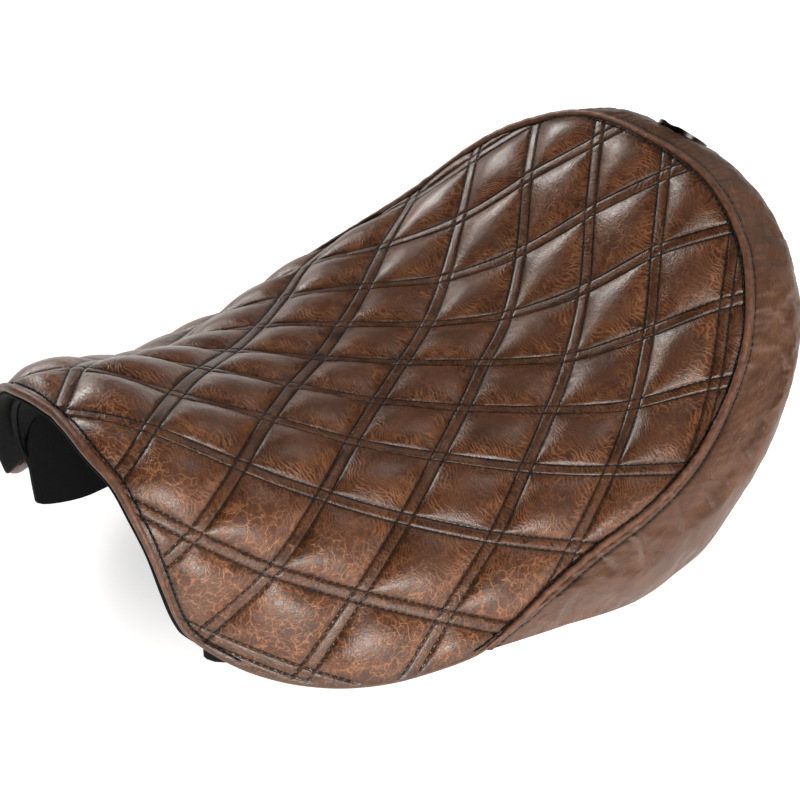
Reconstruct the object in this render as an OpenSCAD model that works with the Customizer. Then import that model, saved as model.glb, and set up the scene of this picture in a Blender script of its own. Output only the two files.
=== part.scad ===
// Solo seat for a custom cruiser: moulded pan, foam, gel insert, quilted top panel,
// side band, welt, front tongue and a captive rear screw. Millimetres.
// The nose points along -Y, +X is the rider's left, +Z is up. The origin is on the
// rear screw axis, at the face of the rear tab that rests on the fender.

/* [Nose] */
// Y of the front lip on the centre line
nose_y = -460; // [-480:1:-440]
// Height of the front lip on the centre line
nose_z = 93; // [85:1:100]
// Half width across the lower corners of the nose
nose_w = 84; // [70:1:95]
// Height of the lower corners of the nose
nose_edge_z = -20; // [-30:1:-10]
// How far the lower corners are swept back
nose_sweep = 21; // [0:1:30]
// Squareness of the nose section
nose_square = 4.8; // [3.5:0.1:6]

/* [Saddle] */
// Y where the widest part begins and the side band starts
hip_y = -314; // [-330:1:-300]
// Half width of the quilted panel
panel_w = 155; // [145:1:165]
// Height of the centre line at the bottom of the saddle
saddle_z = -3; // [-8:1:6]
// Y of the bottom of the saddle
saddle_y = -172; // [-180:1:-160]
// Lowest point of the side band's hem
hem_z = -85; // [-95:1:-75]

/* [Tail] */
// Length of the panel behind the saddle's lowest point
panel_tail = 139; // [130:1:145]
// Height of the welt on the centre line at the tail
tail_z = 79; // [70:1:85]
// Half width over the side band
band_w = 168.5; // [162:0.5:175]
// Length of the side band behind the saddle's lowest point
band_tail = 190; // [184:1:196]
// Roundness exponent of the plan outline
plan_n = 2.42; // [2.2:0.01:2.8]
// Radius of the welt cord
welt_r = 2.5; // [2:0.1:3]

/* [Layers] */
// Thickness of the leather
leather_t = 1.6; // [1.2:0.1:2.2]
// Thickness of the foam sewn behind the quilting
backing_t = 3.6; // [2.5:0.1:4.5]
// Wall of the moulded pan
pan_t = 3.2; // [2.8:0.1:4]
// Gap left between neighbouring layers
gap = 0.5; // [0.3:0.1:0.8]

/* [Gel insert] */
// Width of the gel insert
gel_w = 190; // [140:5:200]
// Length of the gel insert
gel_l = 120; // [90:5:130]
// Height of the floor of its recess
gel_floor = -18; // [-22:1:-16]

/* [Rear mount] */
// Diameter of the captive screw's thread
screw_d = 6.35; // [6:0.05:8]
// Free length of the thread below the tab
screw_free = 14; // [10:1:20]
// Thickness of the rear tab
tab_t = 3; // [2.5:0.5:4]
// Width of the rear tab
tab_w = 32; // [28:1:40]
// Outer radius of the screw cup's sleeve
cup_r = 12.5; // [12:0.5:14]
// Radius of the screw cup's flange
cup_flange_r = 17; // [16:0.5:20]

/* [Front mount] */
// Thickness of the front tongue
tongue_t = 3; // [2.5:0.5:4]
// Width of the front tongue
tongue_w = 44; // [36:1:50]

/* [Bumpers] */
// Diameter of a rubber bumper
bumper_d = 24; // [20:1:28]
// Height of a rubber bumper
bumper_h = 12; // [8:1:16]
// Sideways distance of the bumpers from the centre
bumper_x = 84; // [75:1:92]

/* [Hidden] */

panel_end = saddle_y + panel_tail;
band_end = saddle_y + band_tail;

// ---------- station tables: [y, value] unless noted ----------
// height of the top on the centre line
mid_heights = [
    [nose_y, nose_z], [nose_y + 34, nose_z - 11], [nose_y + 71, nose_z - 27],
    [nose_y + 108, nose_z - 44], [hip_y + 1, nose_z - 61], [saddle_y - 90, saddle_z + 17],
    [saddle_y - 60, saddle_z + 9], [saddle_y - 30, saddle_z + 3.5], [saddle_y, saddle_z],
    [saddle_y + 30, saddle_z + 2], [saddle_y + 60, saddle_z + 17.5],
    [saddle_y + 92, saddle_z + 46], [panel_end - 19, tail_z - 9], [panel_end, tail_z]];
// half width of the panel ahead of the saddle
half_widths = [
    [nose_y, nose_w], [nose_y + 18, nose_w + 17], [nose_y + 38, nose_w + 32],
    [nose_y + 61, nose_w + 46], [nose_y + 95, panel_w - 10], [nose_y + 117, panel_w - 4],
    [hip_y, panel_w + 1], [hip_y + 50, panel_w], [saddle_y, panel_w]];
// height of the panel's lower edge ahead of the saddle
edge_heights = [
    [nose_y, nose_edge_z], [nose_y + 18, nose_edge_z - 4], [nose_y + 38, nose_edge_z - 10],
    [nose_y + 61, nose_edge_z - 20], [nose_y + 95, nose_edge_z - 28], [hip_y, nose_edge_z - 32],
    [hip_y + 48, nose_edge_z - 20], [hip_y + 84, nose_edge_z - 14], [saddle_y, nose_edge_z - 6]];
// height of the welt round the tail: [plan angle, z]
welt_heights = [
    [0, nose_edge_z - 6], [16, nose_edge_z + 9], [27.5, nose_edge_z + 22],
    [46, nose_edge_z + 53], [65, tail_z - 22], [80, tail_z - 6], [90, tail_z]];
// crown exponent of the section
crown_powers = [
    [nose_y, nose_square], [nose_y + 18, nose_square], [nose_y + 48, 3.6], [nose_y + 78, 2.6],
    [hip_y, 2.55], [hip_y + 24, 2.9], [hip_y + 84, 4], [saddle_y - 30, 4.8], [saddle_y, 6.4],
    [saddle_y + 30, 6], [saddle_y + 60, 4.5], [saddle_y + 90, 3.3],
    [panel_end - 19, 2.4], [panel_end, 2]];
// hem and widest line of the side band: [run, z], see plan_pt
hem_heights = [
    [hip_y, nose_edge_z - 33], [hip_y + 52, hem_z + 15], [saddle_y - 38, hem_z + 1],
    [saddle_y + 4, hem_z + 1], [saddle_y + 14, hem_z + 18], [saddle_y + 28, hem_z + 34],
    [saddle_y + 48, hem_z + 38], [saddle_y + 70, -20], [saddle_y + 90, 5]];
widest_heights = [
    [hip_y, nose_edge_z - 32.5], [hip_y + 52, -54], [saddle_y - 30, -56], [saddle_y + 4, -50],
    [saddle_y + 26, -16], [saddle_y + 45, 8], [saddle_y + 90, 30]];
// top of the pan on the centre line
pan_heights = [
    [nose_y, nose_z - 8], [nose_y + 30, 67], [nose_y + 60, 47], [nose_y + 98, 22], [hip_y, -4],
    [hip_y + 80, -32], [saddle_y, -44], [saddle_y + 40, -38], [saddle_y + 78, -14],
    [saddle_y + 104, 9.6], [saddle_y + 128, 11.6], [band_end, 12]];
// crown exponent of the pan's section
pan_powers = [
    [nose_y, nose_square - 0.4], [nose_y + 48, 3.4], [nose_y + 78, 3.1], [hip_y, 4.2],
    [hip_y + 80, 6], [saddle_y, 6.5]];
// lower edge of the pan's skirts inside the legs of the nose
skirt_heights = [
    [nose_y, -24], [nose_y + 12, -33], [nose_y + 48, -50], [nose_y + 68, -55],
    [nose_y + 90, -57], [nose_y + 112, -52], [nose_y + 134, -46]];

// ---------- interpolation ----------
function sgn(x) = x < 0 ? -1 : 1;
function lerp(a, b, share) = a + (b - a) * share;
// 0 before start, 1 after start + length, straight between
function ramp(x, start, length) = min(max((x - start) / length, 0), 1);
function unit(v) = let (n = norm(v)) n < 1e-9 ? [0, 0, 1] : v / n;
function steps(from, to, count) = [for (i = [0 : count]) from + (to - from) * i / count];
function span(table, x, i = 0) =
    (i >= len(table) - 2 || x < table[i + 1][0]) ? i : span(table, x, i + 1);
function slope(table, i) =
    let (before = table[max(i - 1, 0)], after = table[min(i + 1, len(table) - 1)])
    (after[1] - before[1]) / (after[0] - before[0]);
// smooth curve through the stations of a table of [position, value]
function curve(table, x) =
    let (i = span(table, x), length = table[i + 1][0] - table[i][0],
         s = ramp(x, table[i][0], length),
         start_slope = slope(table, i) * length, end_slope = slope(table, i + 1) * length)
    (2*s*s*s - 3*s*s + 1) * table[i][1] + (s*s*s - 2*s*s + s) * start_slope
    + (3*s*s - 2*s*s*s) * table[i + 1][1] + (s*s*s - s*s) * end_slope;

// ---------- cross sections ----------
top_spread = 1.6;  // how closely the top's points crowd towards its edges
pan_spread = 1.7;  // the same for the pan

// half width behind the saddle, on a plan outline of the given half width and length
function round_w(y, half, tail) =
    half * pow(max(1 - pow(ramp(y, saddle_y, tail), plan_n), 0), 1 / plan_n);
// plan angle on that outline
function plan_angle(y, tail) = asin(pow(ramp(y, saddle_y, tail), plan_n / 2));
// y-stations, closer together round the tail
function stations(start, front_count, tail, tail_count, last_angle) =
    concat(steps(start, saddle_y, front_count),
           [for (i = [1 : tail_count])
               saddle_y + tail * pow(sin(last_angle * i / tail_count), 2 / plan_n)]);

function mid_z(y) = curve(mid_heights, y);
function half_w(y) =
    y <= saddle_y ? curve(half_widths, y) : round_w(y, panel_w, panel_tail);
function edge_z(y) =
    y <= saddle_y ? curve(edge_heights, y) : curve(welt_heights, plan_angle(y, panel_tail));
function sweep(y) = nose_sweep * pow(max(0, 1 - (y - nose_y) / 55), 1.5);

// share of the half width reached at f, which runs from -1 to 1 across the seat
function reach(f, spread) = 1 - pow(1 - min(abs(f), 1), spread);
// point of a crowned section that falls by drop from height z to its edges
function section(y, f, spread, half, z, drop, power) =
    let (share = reach(f, spread), fall = pow(share, power))
    [sgn(f) * half * share, y + sweep(y) * pow(fall, 1.5), z - drop * fall];
function normal(along, across) = unit(cross(across, along));

// top surface, its normal, and points at a depth below it
function top_pt(y, f) =
    let (z = mid_z(y))
    section(y, f, top_spread, half_w(y), z, z - edge_z(y), curve(crown_powers, y));
function top_normal(y, f) =
    normal(top_pt(y + 1, f) - top_pt(y - 1, f), top_pt(y, f + 0.01) - top_pt(y, f - 0.01));
function top_in(y, f, depth) =
    top_pt(y, f) - depth * top_normal(min(y, panel_end - 2), min(max(f, -0.985), 0.985));

// ---------- side band surface ----------
band_widest = 0.6; // share of the way from welt to hem where the band is widest

// plan curve: run is y from hip_y to saddle_y, then one unit per degree for 90 degrees
function plan_pt(run, half, tail) =
    run <= saddle_y ? [half, run] :
    let (angle = run - saddle_y)
    [half * pow(max(cos(angle), 0), 2 / plan_n), saddle_y + tail * pow(sin(angle), 2 / plan_n)];
function run_at(y, tail) = y <= saddle_y ? y : saddle_y + plan_angle(y, tail);
function band_half(run) = lerp(panel_w + 1.5, band_w, ramp(run, hip_y, 110));

hem_inset = 3.5;          // of the hem from the widest line, sideways
hem_tail = band_tail - 3;
function welt_pt(run) =
    let (p = plan_pt(run, run < saddle_y ? half_w(run) : panel_w, panel_tail))
    [p[0], p[1], run <= saddle_y ? edge_z(run) : curve(welt_heights, run - saddle_y)];
function widest_pt(run) =
    let (p = plan_pt(run, band_half(run), band_tail)) [p[0], p[1], curve(widest_heights, run)];
function hem_pt(run) =
    let (p = plan_pt(run, band_half(run) - hem_inset * ramp(run, hip_y, 60), hem_tail))
    [p[0], p[1], curve(hem_heights, run)];
// point of the side band: v = 0 at the welt, 1 at the hem
function band_half_pt(run, v) =
    let (welt = welt_pt(run), widest = widest_pt(run), hem = hem_pt(run),
         angle = v / band_widest * 90, low = (v - band_widest) / (1 - band_widest))
    v < band_widest
        ? [lerp(welt[0], widest[0], sin(angle)), lerp(welt[1], widest[1], sin(angle)),
           lerp(widest[2], welt[2], cos(angle))]
        : [lerp(widest[0], hem[0], low * low), lerp(widest[1], hem[1], low * low),
           lerp(widest[2], hem[2], low)];
// whole band: path is 0 at the tail's centre, negative on the -X side
function band_pt(path, v) =
    let (p = band_half_pt(saddle_y + 90 - abs(path), v)) [sgn(path) * p[0], p[1], p[2]];
function band_normal(path, v) =
    normal(band_pt(path + 0.5, v) - band_pt(path - 0.5, v),
           band_pt(path, min(v + 0.02, 1)) - band_pt(path, max(v - 0.02, 0)));

// ---------- mesh helpers ----------
function flat(grid) = [for (row = grid) for (p = row) p];
function quad(a, b, c, d) = [[a, b, c], [a, c, d]];
// closed slab between two grids of points with the same size
module slab(outer, inner) {
    rows = len(outer);
    cols = len(outer[0]);
    last_row = rows - 1;
    last_col = cols - 1;
    function at(side, i, j) = (side * rows + i) * cols + j;
    polyhedron(points = concat(flat(outer), flat(inner)), faces = concat(
        [for (i = [0 : rows - 2]) for (j = [0 : cols - 2])
            each quad(at(0, i, j), at(0, i + 1, j), at(0, i + 1, j + 1), at(0, i, j + 1))],
        [for (i = [0 : rows - 2]) for (j = [0 : cols - 2])
            each quad(at(1, i, j), at(1, i, j + 1), at(1, i + 1, j + 1), at(1, i + 1, j))],
        [for (i = [0 : rows - 2])
            each quad(at(0, i, 0), at(1, i, 0), at(1, i + 1, 0), at(0, i + 1, 0))],
        [for (i = [0 : rows - 2])
            each quad(at(0, i, last_col), at(0, i + 1, last_col),
                      at(1, i + 1, last_col), at(1, i, last_col))],
        [for (j = [0 : cols - 2])
            each quad(at(0, 0, j), at(0, 0, j + 1), at(1, 0, j + 1), at(1, 0, j))],
        [for (j = [0 : cols - 2])
            each quad(at(0, last_row, j), at(1, last_row, j),
                      at(1, last_row, j + 1), at(0, last_row, j + 1))]));
}
// round cord along a list of points with a radius each
module cord(path, radii) {
    sides = 8;
    count = len(path);
    tangents = [for (i = [0 : count - 1])
        unit(path[min(i + 1, count - 1)] - path[max(i - 1, 0)])];
    ring = [for (i = [0 : count - 1]) for (j = [0 : sides - 1])
        let (angle = 360 * j / sides, u = unit(cross(tangents[i], [0, 0.35, 1])),
             v = cross(tangents[i], u))
        path[i] + radii[i] * (cos(angle) * u + sin(angle) * v)];
    polyhedron(points = concat(ring, [path[0], path[count - 1]]), faces = concat(
        [for (i = [0 : count - 2]) for (j = [0 : sides - 1]) let (next = (j + 1) % sides)
            each quad(i * sides + j, (i + 1) * sides + j, (i + 1) * sides + next, i * sides + next)],
        [for (j = [0 : sides - 1]) [count * sides, j, (j + 1) % sides]],
        [for (j = [0 : sides - 1])
            [count * sides + 1, (count - 1) * sides + (j + 1) % sides, (count - 1) * sides + j]]));
}
// place children at a point with +Z along a direction
module aim(p, direction) {
    u = unit(direction);
    translate(p) rotate([0, acos(u[2]), atan2(u[1], u[0])]) children();
}

// ---------- cover ----------
// share of the section covered by the panel when its edge stays margin from the welt line
function panel_share(y, margin) =
    let (half = half_w(y),
         covered = y <= saddle_y ? half - lerp(0.4, margin, ramp(y, hip_y - 20, 14))
                                 : round_w(y, panel_w - margin, panel_tail - margin))
    reach(max(covered, 1) / max(half, 1.02), 1 / top_spread);
module top_panel() {
    margin = welt_r + 0.6;
    y_list = stations(nose_y + 3, 20, panel_tail - margin, 12, 84);
    f_list = [for (j = [-12 : 12]) j / 12];
    function layer(depth) = [for (y = y_list) let (share = panel_share(y, margin))
        [for (f = f_list) depth == 0 ? top_pt(y, f * share) : top_in(y, f * share, depth)]];
    color("saddlebrown") slab(layer(0), layer(leather_t));
}
module quilt_backing() {
    y_list = concat([nose_y + 12],
                    [for (y = stations(nose_y + 3, 16, panel_tail, 9, 70)) if (y > nose_y + 20) y]);
    f_list = [for (j = [-10 : 10]) j / 10 * 0.82];
    function layer(depth) = [for (y = y_list) [for (f = f_list) top_in(y, f, depth)]];
    color("dimgray") slab(layer(leather_t + gap + 0.3), layer(leather_t + gap + backing_t));
}
module side_band() {
    path_list = concat([-217, -208], steps(-195, -90, 9), steps(-80, 80, 20),
                       steps(90, 195, 9), [208, 217]);
    // v where the leather starts, clear of the welt cord
    function start_v(path) =
        let (d = band_pt(path, band_widest) - band_pt(path, 0))
        band_widest * asin(min(1, (welt_r + 0.9) / norm([d[0], d[1]]))) / 90;
    function leather_pt(path, v, depth) =
        band_pt(path, v) - depth * band_normal(path, min(max(v, 0.05), 0.98));
    function layer(depth) = [for (path = path_list)
        [for (j = [0 : 8]) leather_pt(path, lerp(start_v(path), 1, j / 8), depth)]];
    color("sienna") difference() {
        slab(layer(0), layer(leather_t));
        cup_plane() translate([0, 0, -12]) cylinder(r = cup_flange_r + 1.8, h = 34, $fn = 64);
    }
}
module welt_cord() {
    end_r = 1.4;
    lift = 1.2;
    path_list = concat(steps(-229, -90, 14), steps(-84, 84, 28), steps(90, 229, 14));
    color("peru") cord([for (path = path_list) band_pt(path, 0) + [0, 0, lift]],
                       [for (path = path_list) abs(path) > 225 ? end_r : welt_r]);
}
// cord along the panel's front edge, thinner towards its ends
module nose_binding() {
    f_list = steps(-0.97, 0.97, 34);
    color("peru") cord([for (f = f_list) top_pt(nose_y, f) - 1.8 * top_normal(nose_y + 2, f)],
                       [for (f = f_list) lerp(2.3, 1.1, pow(abs(f), 2.5))]);
}

// ---------- pan surface ----------
pan_inset = 16;             // of the pan from the widest line, sideways
pan_tail = band_tail - 15;
pan_back = 11;              // the pan starts this far behind the front edge of the cover

function outer_w(y) =
    y <= saddle_y ? (y < hip_y ? half_w(y) : band_half(y)) : round_w(y, band_w, band_tail);
function hem_z_at(y) = y < hip_y ? edge_z(y) : curve(hem_heights, run_at(y, hem_tail));
function widest_z_at(y) = y < hip_y ? edge_z(y) : curve(widest_heights, run_at(y, band_tail));
function pan_gap(y) = y < hip_y ? lerp(6.5, pan_inset, ramp(y, nose_y, 90)) : pan_inset;
// half width of the pan, or of a like outline with another tail length
function pan_w(y, tail = pan_tail) =
    y <= saddle_y ? outer_w(y) - pan_gap(y) : round_w(y, band_w - pan_inset, tail);
function pan_edge(y) = hem_z_at(y) + 3;
// point at a depth below the pan's top face
function pan_pt(y, f, depth = 0) =
    let (z = curve(pan_heights, y) - depth)
    section(y, f, pan_spread, max(pan_w(y), 3) - depth, z, max(z - pan_edge(y), 1),
            curve(pan_powers, y));
function pan_normal(y, f) =
    normal(pan_pt(y + 1, f) - pan_pt(y - 1, f), pan_pt(y, f + 0.01) - pan_pt(y, f - 0.01));
function under_z(y) = curve(pan_heights, y) - pan_t;

// stations shared by the pan and the underside of the foam
low_y = stations(nose_y + 1, 20, pan_tail, 12, 86);

// ---------- foam and gel ----------
foam_inset = 9.6;               // of the foam from the widest line
hollow_tail = band_tail - 13;   // length of the foam and its hollow behind the saddle
foam_cover_f = 0.86;            // f on the top surface where the foam turns down its side
foam_cover_g = 0.7;             // g of that turn in foam_pt
foam_side_share = 0.65;         // share of the side that curves before it runs straight
leg_sweep = 2 / 21;             // share of the nose sweep added to the foot of the side

// depth of the foam below the cover: full under the backing, close to the leather below it
function foam_depth(share) =
    lerp(leather_t + gap + backing_t + 2, leather_t + gap + 0.6, ramp(share, 0.965, 0.02));
// height of the foam's centre line behind the panel
function dome_z(y) = tail_z - 4 - 40 * pow(ramp(y, panel_end, band_end - panel_end), 2.6);
function foam_top(y, f) =
    let (half = max(half_w(y), 6), tail = y > panel_end - 3,
         z = tail ? dome_z(y) : mid_z(y), drop = tail ? 0.5 : z - edge_z(y),
         power = curve(crown_powers, y), share = reach(f, top_spread), fall = pow(share, power),
         slope_x = drop * power / half * pow(share, power - 1),
         y_in = min(y, panel_end - 1), slope_y = (mid_z(y_in) - mid_z(y_in - 2)) / 2,
         depth = foam_depth(y < hip_y + 40 ? share : 0)
                 * sqrt(1 + slope_y * slope_y) / sqrt(1 + slope_x * slope_x))
    [sgn(f) * max(half * share - depth * slope_x, 0.8 * abs(f)),
     y + sweep(y) * pow(fall, 1.5), z - drop * fall - depth];
// outer face of the foam: g from -1 to 1 across, down the sides beyond foam_cover_g
function foam_pt(y, g) =
    abs(g) <= foam_cover_g ? foam_top(y, g / foam_cover_g * foam_cover_f) :
    let (turn = foam_top(y, foam_cover_f), s = (abs(g) - foam_cover_g) / (1 - foam_cover_g),
         fade = ramp(y, hip_y, 60),
         wide_x = y < hip_y ? turn[0] + 2 :
             max(y <= saddle_y ? outer_w(y) - foam_inset
                               : round_w(y, band_w - foam_inset, band_tail - foam_inset), 8),
         side_x = max(lerp(half_w(y) * 0.957 - 6, wide_x, fade), turn[0] + 1),
         foot_z = hem_z_at(y) + 9,
         side_z = min(max(lerp(edge_z(y) + 14, widest_z_at(y), fade), foot_z + 3), turn[2] - 3),
         angle = 90 * min(s / foam_side_share, 1))
    s < foam_side_share
        ? [sgn(g) * lerp(turn[0], side_x, sin(angle)), turn[1], lerp(side_z, turn[2], cos(angle))]
        : [sgn(g) * side_x, turn[1] + leg_sweep * sweep(y),
           lerp(side_z, foot_z, (s - foam_side_share) / (1 - foam_side_share))];
// underside of the foam, just clear of the pan
function foam_under(y, f) =
    let (z = curve(pan_heights, y) + 0.7)
    section(y, f, pan_spread, max(pan_w(y, hollow_tail), 3) + 0.8, z,
            max(z - pan_edge(y) - 6, 1), curve(pan_powers, y));
module foam_body() {
    y_list = concat([nose_y + 17], [for (y = low_y) if (y > nose_y + 24) y],
                    [saddle_y + hollow_tail]);
    g_list = [for (j = [-13 : 13]) j / 13 * 0.895];
    f_list = [for (j = [-13 : 13]) j / 13];
    // the hollow outside the pan, raised along the thin skirts of the nose
    function rim(y, side) =
        let (p = foam_under(y, side)) [side * 210, p[1], p[2] + 9 * (1 - ramp(y, hip_y - 10, 50))];
    function lifted(y, f) =
        foam_under(y, f) + [0, 0, 5.2 * pow(abs(f), 4) * (1 - ramp(y, hip_y - 50, 50))];
    function row(y, shift) =
        [for (p = concat([rim(y, -1)], [for (f = f_list) lifted(y, f)], [rim(y, 1)]))
            p + [0, shift, 0]];
    function dropped(grid, z) = [for (r = grid) [for (p = r) [p[0], p[1], z]]];
    outer = [for (y = y_list) [for (g = g_list) foam_pt(y, g)]];
    hollow = concat([row(low_y[0], -40)], [for (y = low_y) row(y, 0)],
                    [row(low_y[len(low_y) - 1], 40)]);
    difference() {
        slab(outer, dropped(outer, -150));
        slab(hollow, dropped(hollow, -170));
        // lower front corners of the nose
        for (s = [-1, 1]) translate([s * 106 - 28, nose_y - 5, -80]) cube([56, 50, 79]);
    }
}
gel_y = saddle_y - 8;
gel_corner_r = 30;
module gel_prism(margin) {
    corner_x = gel_w / 2 - gel_corner_r;
    corner_y = gel_l / 2 - gel_corner_r;
    translate([0, gel_y, gel_floor - margin]) linear_extrude(60) union() {
        square([2 * corner_x + 2 * margin, gel_l + 2 * margin], center = true);
        square([gel_w + 2 * margin, 2 * corner_y + 2 * margin], center = true);
        for (sx = [-1, 1], sy = [-1, 1])
            translate([sx * corner_x, sy * corner_y]) circle(r = gel_corner_r + margin, $fn = 48);
    }
}
module foam_core() {
    rivet_room_r = 5.2;
    color("khaki") difference() {
        foam_body();
        gel_prism(gap);
        translate([0, 0, -20]) cylinder(r = cup_r + 1.5, h = 120, $fn = 48);
        cup_plane() translate([0, 0, -3]) cylinder(r = cup_flange_r + 1.5, h = 30, $fn = 48);
        at_tongue_rivets() cylinder(r = rivet_room_r, h = 9, $fn = 24);
        at_bracket_rivets() cylinder(r = rivet_room_r, h = 12, $fn = 24);
        // room over the rear bracket
        translate([-21, -62, -60]) cube([42, 120, 72.6]);
        for (i = [0, 1]) at_bumpers(i) translate([0, 0, -10])
            cylinder(r = bumper_d / 2 + 3, h = boss_h(i) + 12, $fn = 32);
    }
}
module gel_insert() {
    y_list = steps(gel_y - gel_l / 2 - 4, gel_y + gel_l / 2 + 4, 10);
    top = [for (y = y_list) [for (f = steps(-0.72, 0.72, 12)) foam_top(y, f)]];
    color("teal") intersection() {
        slab(top, [for (row = top) [for (p = row) [p[0], p[1], gel_floor - 12]]]);
        gel_prism(0);
    }
}

// ---------- places of the fittings ----------
bumper_y = [saddle_y - 92, saddle_y + 42]; // front pair, rear pair
bumper_z = [-38, -47];                     // height of their mounting faces
tongue_y = nose_y + 122;
tongue_angle = atan2(pan_heights[4][1] - pan_heights[3][1], pan_heights[4][0] - pan_heights[3][0]);
rivet_r = 2.4;
joggle = 3;                                // step of the rear bracket above the tab
bracket_seat_z = 2 * joggle + 0.1;         // underside of the pan over the bracket
cup_angle = -42;
cup_top = 64.5;

function boss_h(i) = under_z(bumper_y[i]) - bumper_z[i];
module tongue_frame()
    translate([0, tongue_y, under_z(tongue_y) - 1.4]) rotate([tongue_angle, 0, 0]) children();
module tongue_pattern() for (x = [-14, 14], y = [-12, 12]) translate([x, y, 0]) children();
module at_tongue_rivets() tongue_frame() tongue_pattern() children();
module at_bracket_rivets()
    for (x = [-9, 9], y = [-50, -34]) translate([x, y, joggle]) children();
module at_bumpers(i)
    for (x = [-1, 1]) translate([x * bumper_x, bumper_y[i], bumper_z[i]]) children();
// rivets that hold the turned-under hem to the inside of the pan
module at_cover_rivets()
    for (y = steps(nose_y + 70, saddle_y + 130, 7), s = [-1, 1])
        aim(pan_pt(y, 0.9 * s, pan_t), -pan_normal(y, 0.9 * s)) children();
module cup_plane() translate([0, 2, cup_top]) rotate([cup_angle, 0, 0]) children();
module rivet_hole(z, height) translate([0, 0, z]) cylinder(r = rivet_r + 0.1, h = height, $fn = 32);

// ---------- pan ----------
// point of the pan's wall above a skirt
function skirt_top(y) =
    let (half = max(pan_w(y), 3) - pan_t / 2, x = lerp(76, 88, ramp(y, nose_y, 90)))
    pan_pt(y, reach(min(x / half, 0.995), 1 / pan_spread), pan_t / 2);
// skirts that reach down inside the legs of the nose
module pan_skirts() {
    skirt_t = 2.6;
    bow = 1.5;
    for (s = [-1, 1]) {
        outer = [for (y = steps(nose_y + pan_back, nose_y + 132, 16))
            let (p = skirt_top(y), low_z = min(curve(skirt_heights, y), p[2] - 3))
            [for (j = [0 : 4])
                [s * (p[0] + skirt_t / 2 + bow * sin(36 * j)), p[1] + 3, lerp(p[2], low_z, j / 4)]]];
        inner = [for (row = outer) [for (p = row) p - [s * skirt_t, 0, 0]]];
        if (s > 0) slab(outer, inner); else slab(inner, outer);
    }
}
module base_pan() {
    y_list = concat([nose_y + pan_back], [for (y = low_y) if (y > nose_y + pan_back + 3) y]);
    f_list = [for (j = [-11 : 11]) j / 11];
    function layer(depth) = [for (y = y_list) [for (f = f_list) pan_pt(y, f, depth)]];
    color("dimgray") difference() {
        union() {
            difference() {
                slab(layer(0), layer(pan_t));
                translate([-tab_w / 2 - 1, -64, -30]) cube([tab_w + 2, 90, bracket_seat_z + 30]);
            }
            pan_skirts();
            for (i = [0, 1]) at_bumpers(i)
                cylinder(r = bumper_d / 2 + 2, h = boss_h(i) + 1, $fn = 48);
            tongue_frame() translate([-26, -22, 0.2]) cube([52, 44, 3]);
            translate([-20, -60, bracket_seat_z]) cube([40, 58, 3]);
        }
        translate([0, 0, -20]) cylinder(r = cup_r + 0.3, h = 60, $fn = 64);
        at_tongue_rivets() rivet_hole(-5, 14);
        at_bracket_rivets() rivet_hole(-5, 20);
        for (i = [0, 1]) at_bumpers(i) translate([0, 0, -1]) cylinder(r = 2.1, h = 7, $fn = 32);
        at_cover_rivets() translate([0, 0, -8]) cylinder(r = 1.7, h = 10, $fn = 24);
    }
}
module cover_rivets() color("silver") at_cover_rivets() {
    translate([0, 0, 1.1]) cylinder(r = 4, h = 1, $fn = 32);
    translate([0, 0, -2.6]) cylinder(r = 1.6, h = 3.8, $fn = 24);
}
// cord just ahead of the pan's front edge
module nose_edge_trim() {
    f_list = steps(-0.7, 0.7, 28);
    color("black") cord([for (f = f_list) pan_pt(nose_y + pan_back, f, pan_t / 2) - [0, 2.1, 0]],
                        [for (f = f_list) 1.7]);
}
// strip along the middle of the pan's underside
module underside_felt() {
    clearance = 1.1;
    felt_t = 2;
    y_list = [for (y = low_y) if (y > hip_y + 30 && y < saddle_y + 84) y];
    function layer(depth) =
        [for (y = y_list) [for (f = steps(-0.2, 0.2, 12)) pan_pt(y, f, pan_t + depth)]];
    color("slategray") slab(layer(clearance), layer(clearance + felt_t));
}

// ---------- front tongue and rear bracket ----------
module tongue_leg() translate([0, -18, -tongue_t]) rotate([24, 0, 0]) children();
module front_tongue() {
    slot_r = 5.2;
    color("silver") tongue_frame() difference() {
        union() {
            translate([-tongue_w / 2, -18, -tongue_t]) cube([tongue_w, 38, tongue_t]);
            tongue_leg() translate([6 - tongue_w / 2, -44, 0]) cube([tongue_w - 12, 44.7, tongue_t]);
        }
        tongue_pattern() rivet_hole(-9, 12);
        // slot open at the front end
        tongue_leg() translate([0, -28, -4]) cylinder(r = slot_r, h = 12, $fn = 48);
        tongue_leg() translate([-slot_r, -50, -4]) cube([2 * slot_r, 22, 12]);
    }
}
// rivet through a stack of the given height, standing on z = 0
module rivet(grip) {
    translate([0, 0, -1.6]) cylinder(r = 4.4, h = 1.55, $fn = 32);
    translate([0, 0, -0.4]) cylinder(r = rivet_r, h = grip + 0.8, $fn = 32);
    translate([0, 0, grip + 0.05]) cylinder(r = 4, h = 1.4, $fn = 32);
}
module tongue_rivets()
    color("gainsboro") at_tongue_rivets() translate([0, 0, -tongue_t]) rivet(tongue_t + 4.6);
module bracket_rivets() color("gainsboro") at_bracket_rivets() rivet(tab_t + 6);
module rear_bracket() {
    color("silver") difference() {
        union() {
            cylinder(r = tab_w / 2, h = tab_t, $fn = 64);
            translate([-tab_w / 2, -17, 0]) cube([tab_w, 17, tab_t]);
            translate([-tab_w / 2, -60, joggle]) cube([tab_w, 38, tab_t]);
            // sloping step between the two flats
            translate([-tab_w / 2, 0, 0]) rotate([90, 0, 90]) linear_extrude(tab_w)
                polygon([[-22.5, joggle], [-16.5, 0], [-16.5, tab_t], [-22.5, joggle + tab_t]]);
        }
        translate([0, 0, -1]) cylinder(r = shank_r + 0.075, h = tab_t + 2, $fn = 64);
        at_bracket_rivets() rivet_hole(-5, 20);
    }
}

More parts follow.
